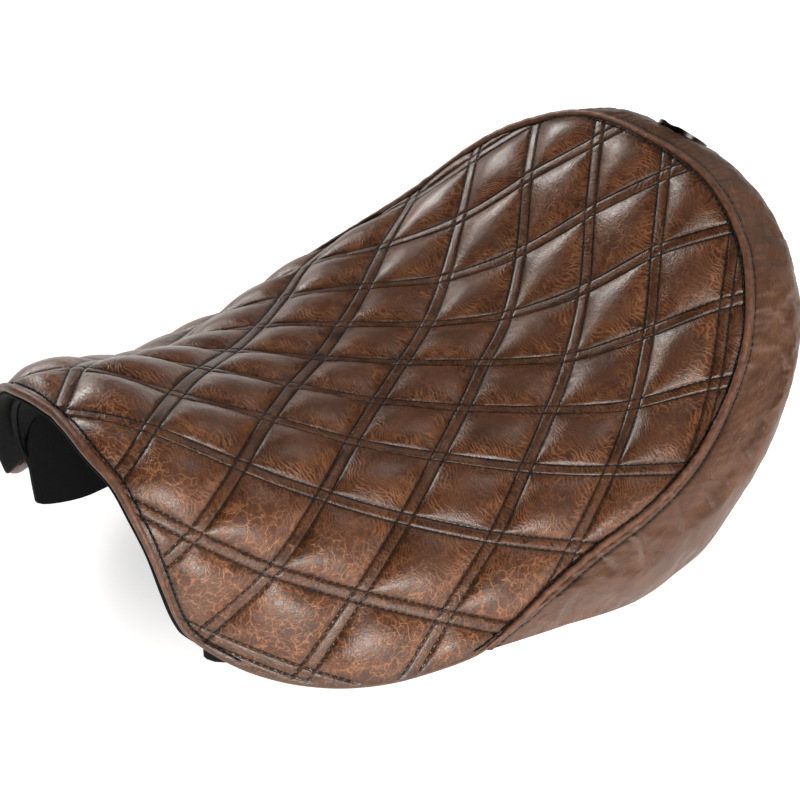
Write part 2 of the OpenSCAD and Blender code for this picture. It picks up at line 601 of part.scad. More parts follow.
// ---------- captive screw and its cup ----------
shank_r = screw_d / 2 + 0.4;
screw_head_r = 8;
module screw_cup() {
    color("black") difference() {
        union() {
            translate([0, 0, tab_t + 0.1]) cylinder(r = cup_r, h = cup_top + 12 - tab_t, $fn = 64);
            cup_plane() translate([0, 0, -1.4]) cylinder(r = cup_flange_r, h = 2.6, $fn = 64);
        }
        translate([0, 0, -1]) cylinder(r = cup_r - 1.7, h = 120, $fn = 64);
        // everything above the slanted flange
        cup_plane() translate([-40, -40, 1.2]) cube([80, 80, 60]);
    }
}
module captive_screw() {
    color("gainsboro") difference() {
        union() {
            translate([0, 0, -screw_free])
                cylinder(r1 = screw_d / 2 - 1, r2 = screw_d / 2, h = 1, $fn = 48);
            translate([0, 0, 1 - screw_free]) cylinder(r = screw_d / 2, h = screw_free - 1, $fn = 48);
            cylinder(r = shank_r, h = tab_t + 1.4, $fn = 48);
            translate([0, 0, tab_t + 1.3]) cylinder(r = screw_head_r, h = 9, $fn = 64);
            translate([0, 0, tab_t + 10.2])
                cylinder(r1 = screw_head_r, r2 = screw_head_r - 1, h = 1, $fn = 64);
        }
        // grooves round the head, then the hex socket
        for (i = [0 : 11]) rotate(30 * i)
            translate([screw_head_r + 0.5, 0, tab_t + 2.2]) cylinder(r = 1.1, h = 20, $fn = 24);
        translate([0, 0, tab_t + 6]) linear_extrude(10) circle(r = 2.9, $fn = 6);
    }
}
module captive_washer() color("white") translate([0, 0, tab_t + 0.05]) difference() {
    cylinder(r = 8.6, h = 1.2, $fn = 64);
    translate([0, 0, -1]) cylinder(r = shank_r + 0.05, h = 4, $fn = 48);
}

// ---------- rubber bumpers ----------
module bumpers(i) color("black") at_bumpers(i) difference() {
    chamfer = 1.5;
    union() {
        translate([0, 0, -bumper_h + chamfer])
            cylinder(r = bumper_d / 2, h = bumper_h - chamfer - 0.05, $fn = 48);
        translate([0, 0, -bumper_h])
            cylinder(r1 = bumper_d / 2 - chamfer, r2 = bumper_d / 2, h = chamfer + 0.05, $fn = 48);
    }
    translate([0, 0, -bumper_h - 1]) cylinder(r = 6, h = 6, $fn = 48);
    translate([0, 0, -bumper_h]) cylinder(r = 2.5, h = bumper_h + 2, $fn = 32);
}
module front_bumpers() bumpers(0);
module rear_bumpers() bumpers(1);
module bumper_screws() color("gray") for (i = [0, 1]) at_bumpers(i) difference() {
    union() {
        translate([0, 0, -bumper_h + 2.2]) cylinder(r = 4.6, h = 2.75, $fn = 48);
        translate([0, 0, -bumper_h + 4.9]) cylinder(r = 2.05, h = bumper_h - 0.4, $fn = 32);
    }
    translate([0, 0, -bumper_h + 2]) linear_extrude(1.6) circle(r = 1.9, $fn = 6);
}

base_pan();
foam_core();
gel_insert();
quilt_backing();
top_panel();
side_band();
welt_cord();
nose_binding();
nose_edge_trim();
underside_felt();
front_tongue();
tongue_rivets();
rear_bracket();
bracket_rivets();
screw_cup();
captive_screw();
captive_washer();
front_bumpers();
rear_bumpers();
bumper_screws();
cover_rivets();
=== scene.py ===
# A quilted leather seat: a pillowed top panel with twin rows of stitches, a plain leather band
# round the sides and tail, a welt between them, piping at the nose, and soft parts underneath.
#
# Shapes are worked out in millimetres from the rear screw and scaled to metres when meshed.
# +Z is up, the nose points to -Y, the tail to +Y, and +X is the rider's left.
import math
import bmesh
import bpy
import numpy as np
from mathutils import Matrix, Vector, noise as solid_noise
from mathutils.bvhtree import BVHTree
from mathutils.kdtree import KDTree


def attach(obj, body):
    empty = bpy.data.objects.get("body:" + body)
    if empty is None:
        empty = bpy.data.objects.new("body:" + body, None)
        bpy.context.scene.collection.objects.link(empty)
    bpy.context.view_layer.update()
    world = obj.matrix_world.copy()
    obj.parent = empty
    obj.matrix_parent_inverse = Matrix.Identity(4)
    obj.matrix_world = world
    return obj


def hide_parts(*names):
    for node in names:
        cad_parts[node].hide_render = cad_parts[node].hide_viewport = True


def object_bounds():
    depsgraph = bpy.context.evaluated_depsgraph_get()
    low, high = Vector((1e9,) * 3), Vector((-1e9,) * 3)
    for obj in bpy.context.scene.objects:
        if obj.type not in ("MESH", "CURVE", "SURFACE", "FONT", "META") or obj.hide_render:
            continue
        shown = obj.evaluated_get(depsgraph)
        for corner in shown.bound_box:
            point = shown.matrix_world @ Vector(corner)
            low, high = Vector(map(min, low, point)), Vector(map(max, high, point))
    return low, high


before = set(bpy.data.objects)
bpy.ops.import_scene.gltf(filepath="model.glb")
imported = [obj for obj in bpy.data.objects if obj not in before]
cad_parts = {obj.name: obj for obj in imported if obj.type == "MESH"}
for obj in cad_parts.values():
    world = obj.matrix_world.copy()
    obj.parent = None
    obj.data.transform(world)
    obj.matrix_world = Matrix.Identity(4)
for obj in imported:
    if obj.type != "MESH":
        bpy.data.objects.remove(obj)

CAD_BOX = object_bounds()
MM = 0.001
random = np.random.default_rng(7)

# ---------------------------------------------------------------- driving dimensions, mm
LINE_PITCH = 45.3        # distance between neighbouring stitch lines
ROW_OFFSET = 3.25        # half the distance between the twin rows of stitches
STITCH_PITCH = 3.9
CROWN_HEIGHT = 6.9       # height of a pillow's crown above the seams
EDGE_SEAM = 2.5          # distance of the edge seam from the panel's outline
CUP_HOLE = 18.0          # radius of the band's opening for the screw cup
CUP_CENTRE = np.array([0, 2.0, 64.5])
CUP_TILT = math.radians(42)
CUP_AXIS = np.array([0, math.sin(CUP_TILT), math.cos(CUP_TILT)])

# Crossings of the stitch lines on the +X half: (i, k): (x, y, z).
# i grows towards the rider's left rear, k towards the right rear, so swapping them mirrors
# a crossing in the centre plane.
LATTICE = {
    (0, 0): (0, -457, 92), (1, 0): (31.5, -426, 84), (1, 1): (0, -389, 66),
    (2, -1): (76.5, -436.5, 50.5), (2, 0): (57, -392, 57), (2, 1): (28, -351.5, 47),
    (2, 2): (0, -313, 31.5), (3, -2): (87, -443, -5), (3, -1): (96, -405, 20.5),
    (3, 0): (78, -357.5, 30.5), (3, 1): (52.5, -316, 26.5), (3, 2): (25.6, -274.7, 15.5),
    (3, 3): (0, -233, 6), (4, -2): (120, -407, -33), (4, -1): (117, -368, -6),
    (4, 0): (100.3, -321.3, 7), (4, 1): (78, -277.2, 10), (4, 2): (52.5, -234.3, 4.7),
    (4, 3): (25, -191.5, -1.2), (4, 4): (0, -148, -2), (5, -1): (140.8, -329.4, -29),
    (5, 0): (127.5, -282.2, -12), (5, 1): (105.7, -237.1, -3.3), (5, 2): (80.6, -192.2, -2.5),
    (5, 3): (54, -149.6, -2.5), (5, 4): (27, -110.6, 13.5), (5, 5): (0, -80.2, 43),
    (6, 0): (148.3, -242, -29.8), (6, 1): (132.2, -197.7, -11.3), (6, 2): (107.6, -152.3, -4.1),
    (6, 3): (80.4, -111.9, 12.1), (6, 4): (54, -80.2, 41.8), (6, 5): (27.5, -46.7, 67.8),
    (7, 2): (129.7, -108.8, 1.1), (7, 3): (106.1, -76.4, 30.2), (7, 4): (82.5, -43.8, 56.8),
}
# Left half of the panel's outline as (i, k), from the centre of the nose to that of the tail
EDGE_FRONT = [
    (0, 0), (0.18, -0.19), (0.59, -0.56), (1.04, -0.83), (1.43, -1.11), (1.89, -1.42),
    (2.32, -1.72), (2.72, -1.98)]
EDGE_HEM = [
    (2.98, -2.09), (3.44, -2.17), (3.84, -2.15), (4.27, -2.05), (4.6, -1.93), (4.92, -1.77),
    (5.25, -1.55), (5.5, -1.36)]
EDGE_WELT = [
    (5.62, -1.22), (5.76, -0.97), (5.97, -0.5), (6.28, 0), (6.68, 0.5), (6.97, 1), (7.15, 1.5),
    (7.26, 2), (7.31, 2.5), (7.28, 3), (7.17, 3.55), (7.0, 4.0), (6.77, 4.43), (6.46, 4.87),
    (6.07, 5.3), (5.68, 5.68)]


# ---------------------------------------------------------------- small maths
def unit(v):
    return v / np.maximum(np.linalg.norm(v, axis=-1, keepdims=True), 1e-12)


def mirror(points):
    return points * np.array([-1, 1, 1])


def arc_length(points):
    """running length along a row of points"""
    return np.r_[0, np.cumsum(np.linalg.norm(np.diff(points, axis=0), axis=1))]


def interp_rows(at, knots, rows):
    return np.stack([np.interp(at, knots, column) for column in rows.T], -1)


def smoothstep(x, low, high):
    t = np.clip((x - low) / (high - low), 0, 1)
    return t * t * (3 - 2 * t)


def bell(x, width):
    return np.exp(-(x / width) ** 2)


def sine_noise(octaves, frequency, seed):
    """smooth random function of one variable: a sum of sines with seeded phases"""
    draw = np.random.default_rng(seed)
    freq = frequency * (1 + draw.random(octaves) * 1.3) * np.linspace(0.6, 1.6, octaves)
    phase = draw.random(octaves) * 2 * math.pi

    def value(x):
        waves = np.sin(np.asarray(x)[..., None] * freq * 2 * math.pi + phase)
        return waves.sum(-1) / math.sqrt(octaves)
    return value


def smooth_curve(points, count):
    """Catmull-Rom curve through the points, as evenly spaced samples"""
    points = np.asarray(points, float)
    knots = np.vstack([2 * points[0] - points[1], points, 2 * points[-1] - points[-2]])
    t = np.linspace(0, 1, 24, endpoint=False)[:, None]
    parts = []
    for a, b, c, d in zip(knots, knots[1:], knots[2:], knots[3:]):
        parts.append(0.5 * (2 * b + (c - a) * t + (2 * a - 5 * b + 4 * c - d) * t ** 2
                            + (3 * b - a - 3 * c + d) * t ** 3))
    dense = np.vstack(parts + [points[-1:]])
    length = arc_length(dense)
    return interp_rows(np.linspace(0, length[-1], count), length, dense)


def station_curve(table, at):
    """smooth curve through a table of (position, value)"""
    place, value = np.asarray(table, float).T
    slope = np.empty(len(place))
    slope[0] = (value[1] - value[0]) / (place[1] - place[0])
    slope[-1] = (value[-1] - value[-2]) / (place[-1] - place[-2])
    slope[1:-1] = (value[2:] - value[:-2]) / (place[2:] - place[:-2])
    i = np.clip(np.searchsorted(place, at, side='right') - 1, 0, len(place) - 2)
    step = place[i + 1] - place[i]
    s = np.clip((at - place[i]) / step, 0, 1)
    return ((2*s**3 - 3*s**2 + 1) * value[i] + (s**3 - 2*s**2 + s) * slope[i] * step
            + (3*s**2 - 2*s**3) * value[i + 1] + (s**3 - s**2) * slope[i + 1] * step)


# ---------------------------------------------------------------- the surface of the seams
SOFTNESS = 0.03          # how far the fitted surface may pass beside the crossings
CHUNK = 20000            # grid points worked out at a time

crossings, places = [], []
for (i, k), (x, y, z) in LATTICE.items():
    crossings.append((i, k))
    places.append((x, y, z))
    if i != k:
        crossings.append((k, i))
        places.append((-x, y, z))
crossings = np.array(crossings, float)
places = np.array(places, float)


def plate_terms(grid):
    """thin-plate term of each grid point against each crossing"""
    squared = ((grid[:, None] - crossings[None]) ** 2).sum(-1)
    return 0.5 * squared * np.log(np.maximum(squared, 1e-12))


def quadratic_terms(grid):
    i, k = grid[:, 0], grid[:, 1]
    return np.stack([np.ones_like(i), i, k, i * i, i * k, k * k], 1)


def fit_surface():
    count = len(crossings)
    quadratic = quadratic_terms(crossings)
    system = np.zeros((count + 6, count + 6))
    system[:count, :count] = plate_terms(crossings) + SOFTNESS * np.eye(count)
    system[:count, count:] = quadratic
    system[count:, :count] = quadratic.T
    return np.linalg.solve(system, np.vstack([places, np.zeros((6, 3))]))


WEIGHTS = fit_surface()


def surface(grid):
    """places of (i, k) points on the fitted surface"""
    grid = np.asarray(grid, float)
    parts = []
    for start in range(0, len(grid), CHUNK):
        part = grid[start:start + CHUNK]
        parts.append(plate_terms(part) @ WEIGHTS[:-6] + quadratic_terms(part) @ WEIGHTS[-6:])
    return np.vstack(parts)


def surface_normals(grid):
    grid = np.asarray(grid, float)
    step = 0.01
    along_i = surface(grid + [step, 0]) - surface(grid - [step, 0])
    along_k = surface(grid + [0, step]) - surface(grid - [0, step])
    normal = np.cross(along_i, along_k)
    normal /= np.linalg.norm(normal, axis=1)[:, None]
    return normal if normal[:, 2].mean() > 0 else -normal


# ---------------------------------------------------------------- the panel's outline
half = smooth_curve(EDGE_FRONT + EDGE_HEM + EDGE_WELT, 900)
# samples where the hem and the welt begin
HEM_START, WELT_START = [
    int(np.argmin(((half - np.array(corner)) ** 2).sum(1)))
    for corner in (EDGE_HEM[0], EDGE_WELT[0])]
outline = np.vstack([half, half[::-1][1:-1][:, ::-1]])     # left side, then the right side back

edge = surface(half)
edge_normal = surface_normals(half)
edge_out = unit(np.cross(unit(np.gradient(edge, axis=0)), edge_normal))   # away from the panel
edge_length = arc_length(edge)

outline_tree = KDTree(len(outline))
for index, (i, k) in enumerate(outline):
    outline_tree.insert((i, k, 0), index)
outline_tree.balance()


def inside(grid):
    """which grid points lie inside the outline"""
    x, y = grid[:, 0], grid[:, 1]
    result = np.zeros(len(grid), bool)
    corners = outline[::3]
    for (x0, y0), (x1, y1) in zip(corners, np.roll(corners, -1, 0)):
        crosses = (y0 > y) != (y1 > y)
        if crosses.any():
            result[crosses] ^= x[crosses] < (x1 - x0) * (y[crosses] - y0) / (y1 - y0 + 1e-15) + x0
    return result


def edge_gap(grid):
    """distance from the outline, mm"""
    return np.array([outline_tree.find((i, k, 0))[2] for i, k in grid]) * LINE_PITCH


def edge_strength(grid):
    """how strongly the edge seam is sunk and painted as shade: full beside the nose and the welt,
    faint between
    """
    index = np.array([outline_tree.find((i, k, 0))[1] for i, k in grid])
    index = np.where(index < len(half), index, 2 * len(half) - 2 - index)
    nose = (HEM_START + 45 - index) / 30.0
    welt = (index - WELT_START + 20) / 30.0
    return np.clip(np.maximum(nose, welt), 0.25, 1)


def edge_frame(first, last, count):
    """points, normals and outward directions at even steps between two outline samples"""
    at = np.linspace(first, last, count)
    points, normal, out = [
        interp_rows(at, np.arange(len(edge)), rows) for rows in (edge, edge_normal, edge_out)]
    return points, unit(normal), unit(out)


# ---------------------------------------------------------------- mesh helpers
def add_uv(mesh, name, uv):
    layer = mesh.uv_layers.new(name=name)
    index = np.empty(len(mesh.loops), int)
    mesh.loops.foreach_get("vertex_index", index)
    layer.data.foreach_set("uv", np.asarray(uv, float)[index].ravel())


def make_object(name, points, faces, uv=None):
    """a smooth object from points in mm"""
    mesh = bpy.data.meshes.new(name)
    scaled = np.asarray(points, float) * MM
    mesh.from_pydata(scaled.tolist(), [], [tuple(int(v) for v in face) for face in faces])
    if uv is not None:
        add_uv(mesh, "lat", uv)
    mesh.polygons.foreach_set("use_smooth", [True] * len(mesh.polygons))
    mesh.update()
    ob = bpy.data.objects.new(name, mesh)
    bpy.context.scene.collection.objects.link(ob)
    return ob


def grid_faces(rows, columns, closed=False):
    faces = []
    for row in range(rows - 1):
        for column in range(columns if closed else columns - 1):
            a = row * columns + column
            b = row * columns + (column + 1) % columns
            faces.append((a, b, b + columns, a + columns))
    return faces


def paint(ob, **values):
    """one float attribute on the points for each name"""
    for name, value in values.items():
        attribute = ob.data.attributes.new(name, 'FLOAT', 'POINT')
        attribute.data.foreach_set("value", np.asarray(value, np.float32))


def clean(ob, distance=0.00004):
    """weld close points and drop collapsed faces and loose points; distance in metres"""
    bm = bmesh.new()
    bm.from_mesh(ob.data)
    bmesh.ops.remove_doubles(bm, verts=bm.verts, dist=distance)
    bmesh.ops.dissolve_degenerate(bm, edges=bm.edges, dist=distance)
    loose = [v for v in bm.verts if not v.link_faces]
    if loose:
        bmesh.ops.delete(bm, geom=loose, context='VERTS')
    bm.to_mesh(ob.data)
    bm.free()
    ob.data.update()


def fit(ob, slot, *replaced):
    """put a piece under the seat's body and hide the CAD pieces it stands in for"""
    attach(ob, "seat")
    if replaced:
        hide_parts(*replaced)


def mirrored_strip(name, rows, slot, *replaced, closed=False):
    """one object from long rows of points on the left half, and their mirror image"""
    strip = np.stack(rows, 1)
    count, across = strip.shape[:2]
    left = grid_faces(count, across, closed)
    right = [tuple(i + count * across for i in face[::-1]) for face in left]
    u, v = arc_length(strip[:, 0]), arc_length(strip[count // 2])
    uv = np.stack(np.meshgrid(u, v, indexing='ij'), -1).reshape(-1, 2) * MM
    points = strip.reshape(-1, 3)
    ob = make_object(name, np.vstack([points, mirror(points)]), left + right,
                     uv=np.vstack([uv, uv * [-1, 1] - [0.01, 0]]))
    fit(ob, slot, *replaced)
    return ob


# ---------------------------------------------------------------- quilt relief, mm
gathers = [sine_noise(octaves=5, frequency=5.2, seed=100 + j) for j in range(24)]


def line_distance(grid):
    """signed distance to the nearest stitch line"""
    return (grid - np.round(grid)) * LINE_PITCH


def pucker(across, along, distance):
    """small gathers that run out of a stitch line"""
    out = np.zeros(len(distance))
    line = np.round(across).astype(int)
    weight = (np.exp(-np.maximum(np.abs(distance) - ROW_OFFSET, 0) / 4.6)
              * smoothstep(np.abs(distance), ROW_OFFSET, ROW_OFFSET + 1.6))
    for n in np.unique(line):
        on = line == n
        out[on] = gathers[(n + 6) % 24](along[on] * 1.02 + 0.013 * distance[on]) * weight[on]
    return out


def fullness(distance):
    """0 at a row of stitches, 1 midway between two lines"""
    s = np.clip((np.abs(distance) - ROW_OFFSET) / (LINE_PITCH / 2 - ROW_OFFSET), 0, 1)
    return 1 - (1 - s) ** 2.55


def pillow(grid, gap):
    """height of the pillows, which die out towards the outline"""
    from_i, from_k = line_distance(grid).T
    rise = np.clip((gap - 0.6) / 15.0, 0, 1)
    return CROWN_HEIGHT * fullness(from_i) * fullness(from_k) * (1 - (1 - rise) ** 2.3)


def seam_relief(grid, gap):
    """grooves under the stitches, the raised strip between twin rows, and the edge seam"""
    from_i, from_k = line_distance(grid).T
    groove = np.maximum(bell(np.abs(from_i) - ROW_OFFSET, 0.62),
                        bell(np.abs(from_k) - ROW_OFFSET, 0.62))
    strip_i = np.clip(1 - (from_i / ROW_OFFSET) ** 2, 0, 1)
    strip_k = np.clip(1 - (from_k / ROW_OFFSET) ** 2, 0, 1)
    # small cross creases along the strip, one to a stitch
    wave_i, wave_k = np.sin(grid * LINE_PITCH * 2 * math.pi / STITCH_PITCH).T
    relief = (-0.85 * groove + 0.26 * np.maximum(strip_i, strip_k)
              + 0.10 * strip_i * wave_k + 0.10 * strip_k * wave_i)
    edge_groove = 0.9 * edge_strength(grid) * bell(gap - EDGE_SEAM, 0.8)
    return relief * smoothstep(gap, 0.2, 2.5) - edge_groove


# ---------------------------------------------------------------- grids over the panel
def grid_lines(offsets):
    """lattice values at the given distances (mm) either side of every stitch line"""
    values = {round(n + side * offset / LINE_PITCH, 6)
              for n in range(-3, 9) for offset in offsets for side in (-1, 1)}
    return np.array([v for v in sorted(values) if -2.45 <= v <= 7.5])


def trimmed_grid(lines):
    """cells that touch the panel, outer corners drawn in to the outline.
    Returns points, distances from the outline, faces, and indices in the full grid."""
    n = len(lines)
    grid = np.stack(np.meshgrid(lines, lines, indexing='ij'), -1).reshape(-1, 2)
    within = inside(grid).reshape(n, n)
    cell = within[:-1, :-1] | within[1:, :-1] | within[:-1, 1:] | within[1:, 1:]
    a, b = np.nonzero(cell)
    corner = a * n + b
    faces = np.stack([corner, corner + n, corner + n + 1, corner + 1], 1)
    used = np.unique(faces)
    new_index = np.full(n * n, -1)
    new_index[used] = np.arange(len(used))
    grid = grid[used]
    outer = ~within.ravel()[used]
    for j in np.nonzero(outer)[0]:
        near = outline_tree.find((grid[j, 0], grid[j, 1], 0))[0]
        grid[j] = (near[0], near[1])
    gap = edge_gap(grid)
    gap[outer] = 0
    return grid, gap, new_index[faces], used


# ---------------------------------------------------------------- cloth: the puffed cover
def run_cloth(ob, pins, frames, pressure, shrink, bending, limit):
    """pressure-fill a pinned cover; returns its points in mm, moved by no more than limit"""
    base = np.array([v.co[:] for v in ob.data.vertices])
    group = ob.vertex_groups.new(name="pin")
    group.add([int(v) for v in pins], 1.0, 'REPLACE')
    modifier = ob.modifiers.new("cloth", 'CLOTH')
    settings = dict(
        quality=6, mass=0.3, air_damping=2.0,
        tension_stiffness=15.0, compression_stiffness=15.0, shear_stiffness=5.0,
        bending_stiffness=bending, vertex_group_mass="pin", pin_stiffness=1.0,
        use_pressure=True, uniform_pressure_force=pressure,
        shrink_min=shrink, shrink_max=shrink)
    for name, value in settings.items():
        setattr(modifier.settings, name, value)
    modifier.settings.effector_weights.gravity = 0.0
    modifier.collision_settings.use_collision = False
    modifier.collision_settings.use_self_collision = False
    modifier.point_cache.frame_start = 1
    modifier.point_cache.frame_end = frames
    scene = bpy.context.scene
    for number in range(1, frames + 1):
        scene.frame_set(number)
    evaluated = ob.evaluated_get(bpy.context.evaluated_depsgraph_get())
    moved = np.array([v.co[:] for v in evaluated.data.vertices])
    ob.modifiers.remove(modifier)
    scene.frame_set(1)
    shift = moved - base
    length = np.linalg.norm(shift, axis=1)
    shift *= (np.minimum(length, limit * MM) / np.maximum(length, 1e-9))[:, None]
    shift[~np.isfinite(shift).all(1)] = 0
    return (base + shift) / MM


SIM_LINES = grid_lines(
    [0, ROW_OFFSET, 5.3, 7.7, 10.3, 13.2, 16.3, 19.5, LINE_PITCH / 2])


def simulate_cover():
    """shift of the cloth from the plain relief at each crossing of SIM_LINES"""
    grid, gap, faces, used = trimmed_grid(SIM_LINES)
    normal = surface_normals(grid)
    base = surface(grid)
    height = pillow(grid, gap)[:, None]
    ob = make_object("sim_cover", base + 0.72 * height * normal, faces)
    sewn = (np.abs(line_distance(grid)) < ROW_OFFSET + 0.1).any(1)
    pinned = sewn | (gap < 1.5)
    cloth = run_cloth(ob, np.nonzero(pinned)[0], frames=18, pressure=1.6, shrink=-0.035,
                      bending=0.35, limit=6.5)
    shift = cloth - (base + height * normal)
    shift[pinned] = 0
    bpy.data.objects.remove(ob)
    full = np.zeros((len(SIM_LINES) ** 2, 3))
    full[used] = shift
    return full.reshape(len(SIM_LINES), len(SIM_LINES), 3)


cloth_grid = simulate_cover()


def cloth_shift(grid):
    """the cloth's shift between the simulated points"""
    cell = np.clip(np.searchsorted(SIM_LINES, grid) - 1, 0, len(SIM_LINES) - 2)
    part = np.clip((grid - SIM_LINES[cell]) / (SIM_LINES[cell + 1] - SIM_LINES[cell]), 0, 1)
    (i, k), (u, v) = cell.T, part.T[..., None]
    return ((1 - u) * (1 - v) * cloth_grid[i, k] + u * (1 - v) * cloth_grid[i + 1, k]
            + (1 - u) * v * cloth_grid[i, k + 1] + u * v * cloth_grid[i + 1, k + 1])


def cover(grid, gap):
    """points of the finished leather, their normals, and how near each is to a crown"""
    normal = surface_normals(grid)
    from_i, from_k = line_distance(grid).T
    height = pillow(grid, gap)
    gathered = (pucker(grid[:, 0], grid[:, 1], from_i) * fullness(from_k) ** 0.5
                + pucker(grid[:, 1], grid[:, 0], from_k) * fullness(from_i) ** 0.5)
    relief = height + seam_relief(grid, gap) + 0.30 * gathered * smoothstep(gap, 1, 6)
    points = surface(grid) + relief[:, None] * normal + cloth_shift(grid)
    return points, normal, height / CROWN_HEIGHT


# ---------------------------------------------------------------- the quilted panel
PANEL_LINES = grid_lines(
    [0, 1.1, 2.0, 2.7, ROW_OFFSET, 3.8, 4.5, 5.5, 7, 8.7, 10.5, 12.4, 14.4, 16.5, 18.6, 20.7,
     LINE_PITCH / 2])
UV_PITCH = 32.0          # texture distance given to one lattice step, mm


def build_panel():
    grid, gap, faces, _ = trimmed_grid(PANEL_LINES)
    points, normal, crest = cover(grid, gap)
    i, k = grid.T
    ob = make_object("quilted_panel", points, faces,
                     uv=np.stack([(i - k) * UV_PITCH * MM, (i + k) * UV_PITCH * MM], 1))
    from_row = np.abs(np.abs(line_distance(grid)) - ROW_OFFSET).min(1)
    steep = 1 - smoothstep(normal[:, 2], 0.45, 0.93)
    nose = 1 - smoothstep(surface(grid)[:, 1], -446, -408)
    edge_groove = edge_strength(grid) * bell(gap - EDGE_SEAM, 0.75)
    # painted shade: groove darkens the rows of stitches, rim the edge seam and a fading strip
    # along the outline
    paint(ob, crest=crest, groove=bell(from_row, 0.46), near=np.exp(-from_row / 5.0),
          skirt=np.maximum(steep, 0.85 * nose),
          rim=np.maximum(edge_groove, 0.35 * np.exp(-np.maximum(gap, 0) / 4.0)))
    add_uv(ob.data, "ik", grid)
    clean(ob)
    if ob.data.polygons[len(ob.data.polygons) // 2].normal.z < 0:
        ob.data.flip_normals()                     # faces look outwards
    fit(ob, "leather_quilted", "top_panel", "quilt_backing")
    return ob


panel = build_panel()


# ---------------------------------------------------------------- stitches
def capsule(length, radius, sink=0.34, sides=6):
    """one stitch along X, its ends sunk below its middle"""
    points = [(-length / 2, 0, -sink)]
    # rings: (place along the stitch, share of the radius)
    for x, share in ((-length / 2 + 0.25, 0.75), (-length / 6, 1), (length / 6, 1),
                     (length / 2 - 0.25, 0.75)):
        drop = -sink * (2 * x / length) ** 2
        for j in range(sides):
            turn = 2 * math.pi * j / sides
            points.append((x, share * radius * math.cos(turn),
                           share * radius * math.sin(turn) + drop))
    points.append((length / 2, 0, -sink))
    faces = [(0, 1 + (j + 1) % sides, 1 + j) for j in range(sides)]
    for ring in range(3):
        for j in range(sides):
            a = 1 + ring * sides + j
            b = 1 + ring * sides + (j + 1) % sides
            faces.append((a, b, b + sides, a + sides))
    end = len(points) - 1
    for j in range(sides):
        faces.append((end, 1 + 3 * sides + j, 1 + 3 * sides + (j + 1) % sides))
    return np.array(points), faces


def stitch_object(name, centres, along, normal, length, radius):
    """one capsule of thread at each centre, with its back towards the normal"""
    points, faces = capsule(length, radius)
    along = unit(along)
    across = unit(np.cross(normal, along))
    back = np.cross(along, across)
    placed = (centres[:, None] + points[None, :, 0:1] * along[:, None]
              + points[None, :, 1:2] * across[:, None] + points[None, :, 2:3] * back[:, None])
    all_faces = [tuple(n * len(points) + j for j in face)
                 for n in range(len(centres)) for face in faces]
    ob = make_object(name, placed.reshape(-1, 3), all_faces)
    fit(ob, "trim_rubber")
    return ob


def line_points(fixed, along, swap):
    """points with i fixed, or with k fixed when swapped"""
    points = np.stack([np.full_like(along, fixed), along], 1)
    return points[:, ::-1].copy() if swap else points


def row_stitches(fixed, first, swap):
    """centres, directions and normals of one row, or None where it misses the panel"""
    t = np.arange(-2.4, 7.4, 0.02)
    length = arc_length(surface(line_points(fixed, t, swap)))
    at = np.interp(np.arange(first, length[-1], STITCH_PITCH), length, t)
    at = at + random.normal(0, 0.002, len(at))
    here = line_points(fixed, at, swap)
    ahead = line_points(fixed, at + 0.01, swap)
    kept = inside(here)
    kept[kept] = edge_gap(here[kept]) > 2.6
    if not kept.any():
        return None
    here, ahead = here[kept], ahead[kept]
    normal = surface_normals(here)
    base = surface(here)
    return base + cloth_shift(here) - 0.42 * normal, surface(ahead) - base, normal


stitches = []
for n in range(-2, 8):
    for side in (-1, 1):
        for swap in (False, True):
            row = row_stitches(n + side * ROW_OFFSET / LINE_PITCH, 1.0 + 0.5 * side, swap)
            if row is not None:
                stitches.append(row)

# the edge seam, along the nose and along the welt; its grid points are kept for the dark cords of
# painted seam shadow
edge_seams = []
for first, last in ((0, HEM_START + 30), (WELT_START - 8, len(half) - 1)):
    at = np.arange(edge_length[first], edge_length[last], STITCH_PITCH * 0.95)
    here = interp_rows(at, edge_length, half)
    ahead = interp_rows(at + 0.5, edge_length, half)
    step = ahead - here
    inward = np.stack([-step[:, 1], step[:, 0]], 1)
    inward /= np.linalg.norm(inward, axis=1)[:, None] + 1e-9
    here = here + inward * EDGE_SEAM / LINE_PITCH
    ahead = ahead + inward * EDGE_SEAM / LINE_PITCH
    for order in (1, -1):                          # left side, right side
        here_, ahead_ = here[:, ::order], ahead[:, ::order]
        points, normal, _ = cover(here_, np.full(len(here_), EDGE_SEAM))
        stitches.append((points + 0.75 * normal, surface(ahead_) - surface(here_), normal))
    edge_seams.append(here)

centres, along, normal = [np.vstack(parts) for parts in zip(*stitches)]
along = unit(along) + random.normal(0, 0.05, along.shape)
panel_thread = stitch_object("panel_stitches", centres, along, normal, length=3.0, radius=0.42)

# ---------------------------------------------------------------- edges of the panel
# the leather rolls over the pan's edge along the nose and the skirts, then runs back inwards
HEM_ROLL = 2.0           # radius of the roll
some = np.arange(0, WELT_START + 12, 3)
points, normal, out = edge[some], edge_normal[some], edge_out[some]
rows = [points - HEM_ROLL * normal + HEM_ROLL * (np.sin(a) * out + np.cos(a) * normal)
        for a in np.radians([0, 25, 50, 80, 110, 140, 180])]
under = rows[-1]
rows += [under - d * out - 0.02 * d * normal for d in (3, 6.5, 10)]
panel_hem = mirrored_strip("panel_hem", rows, "leather_edge")
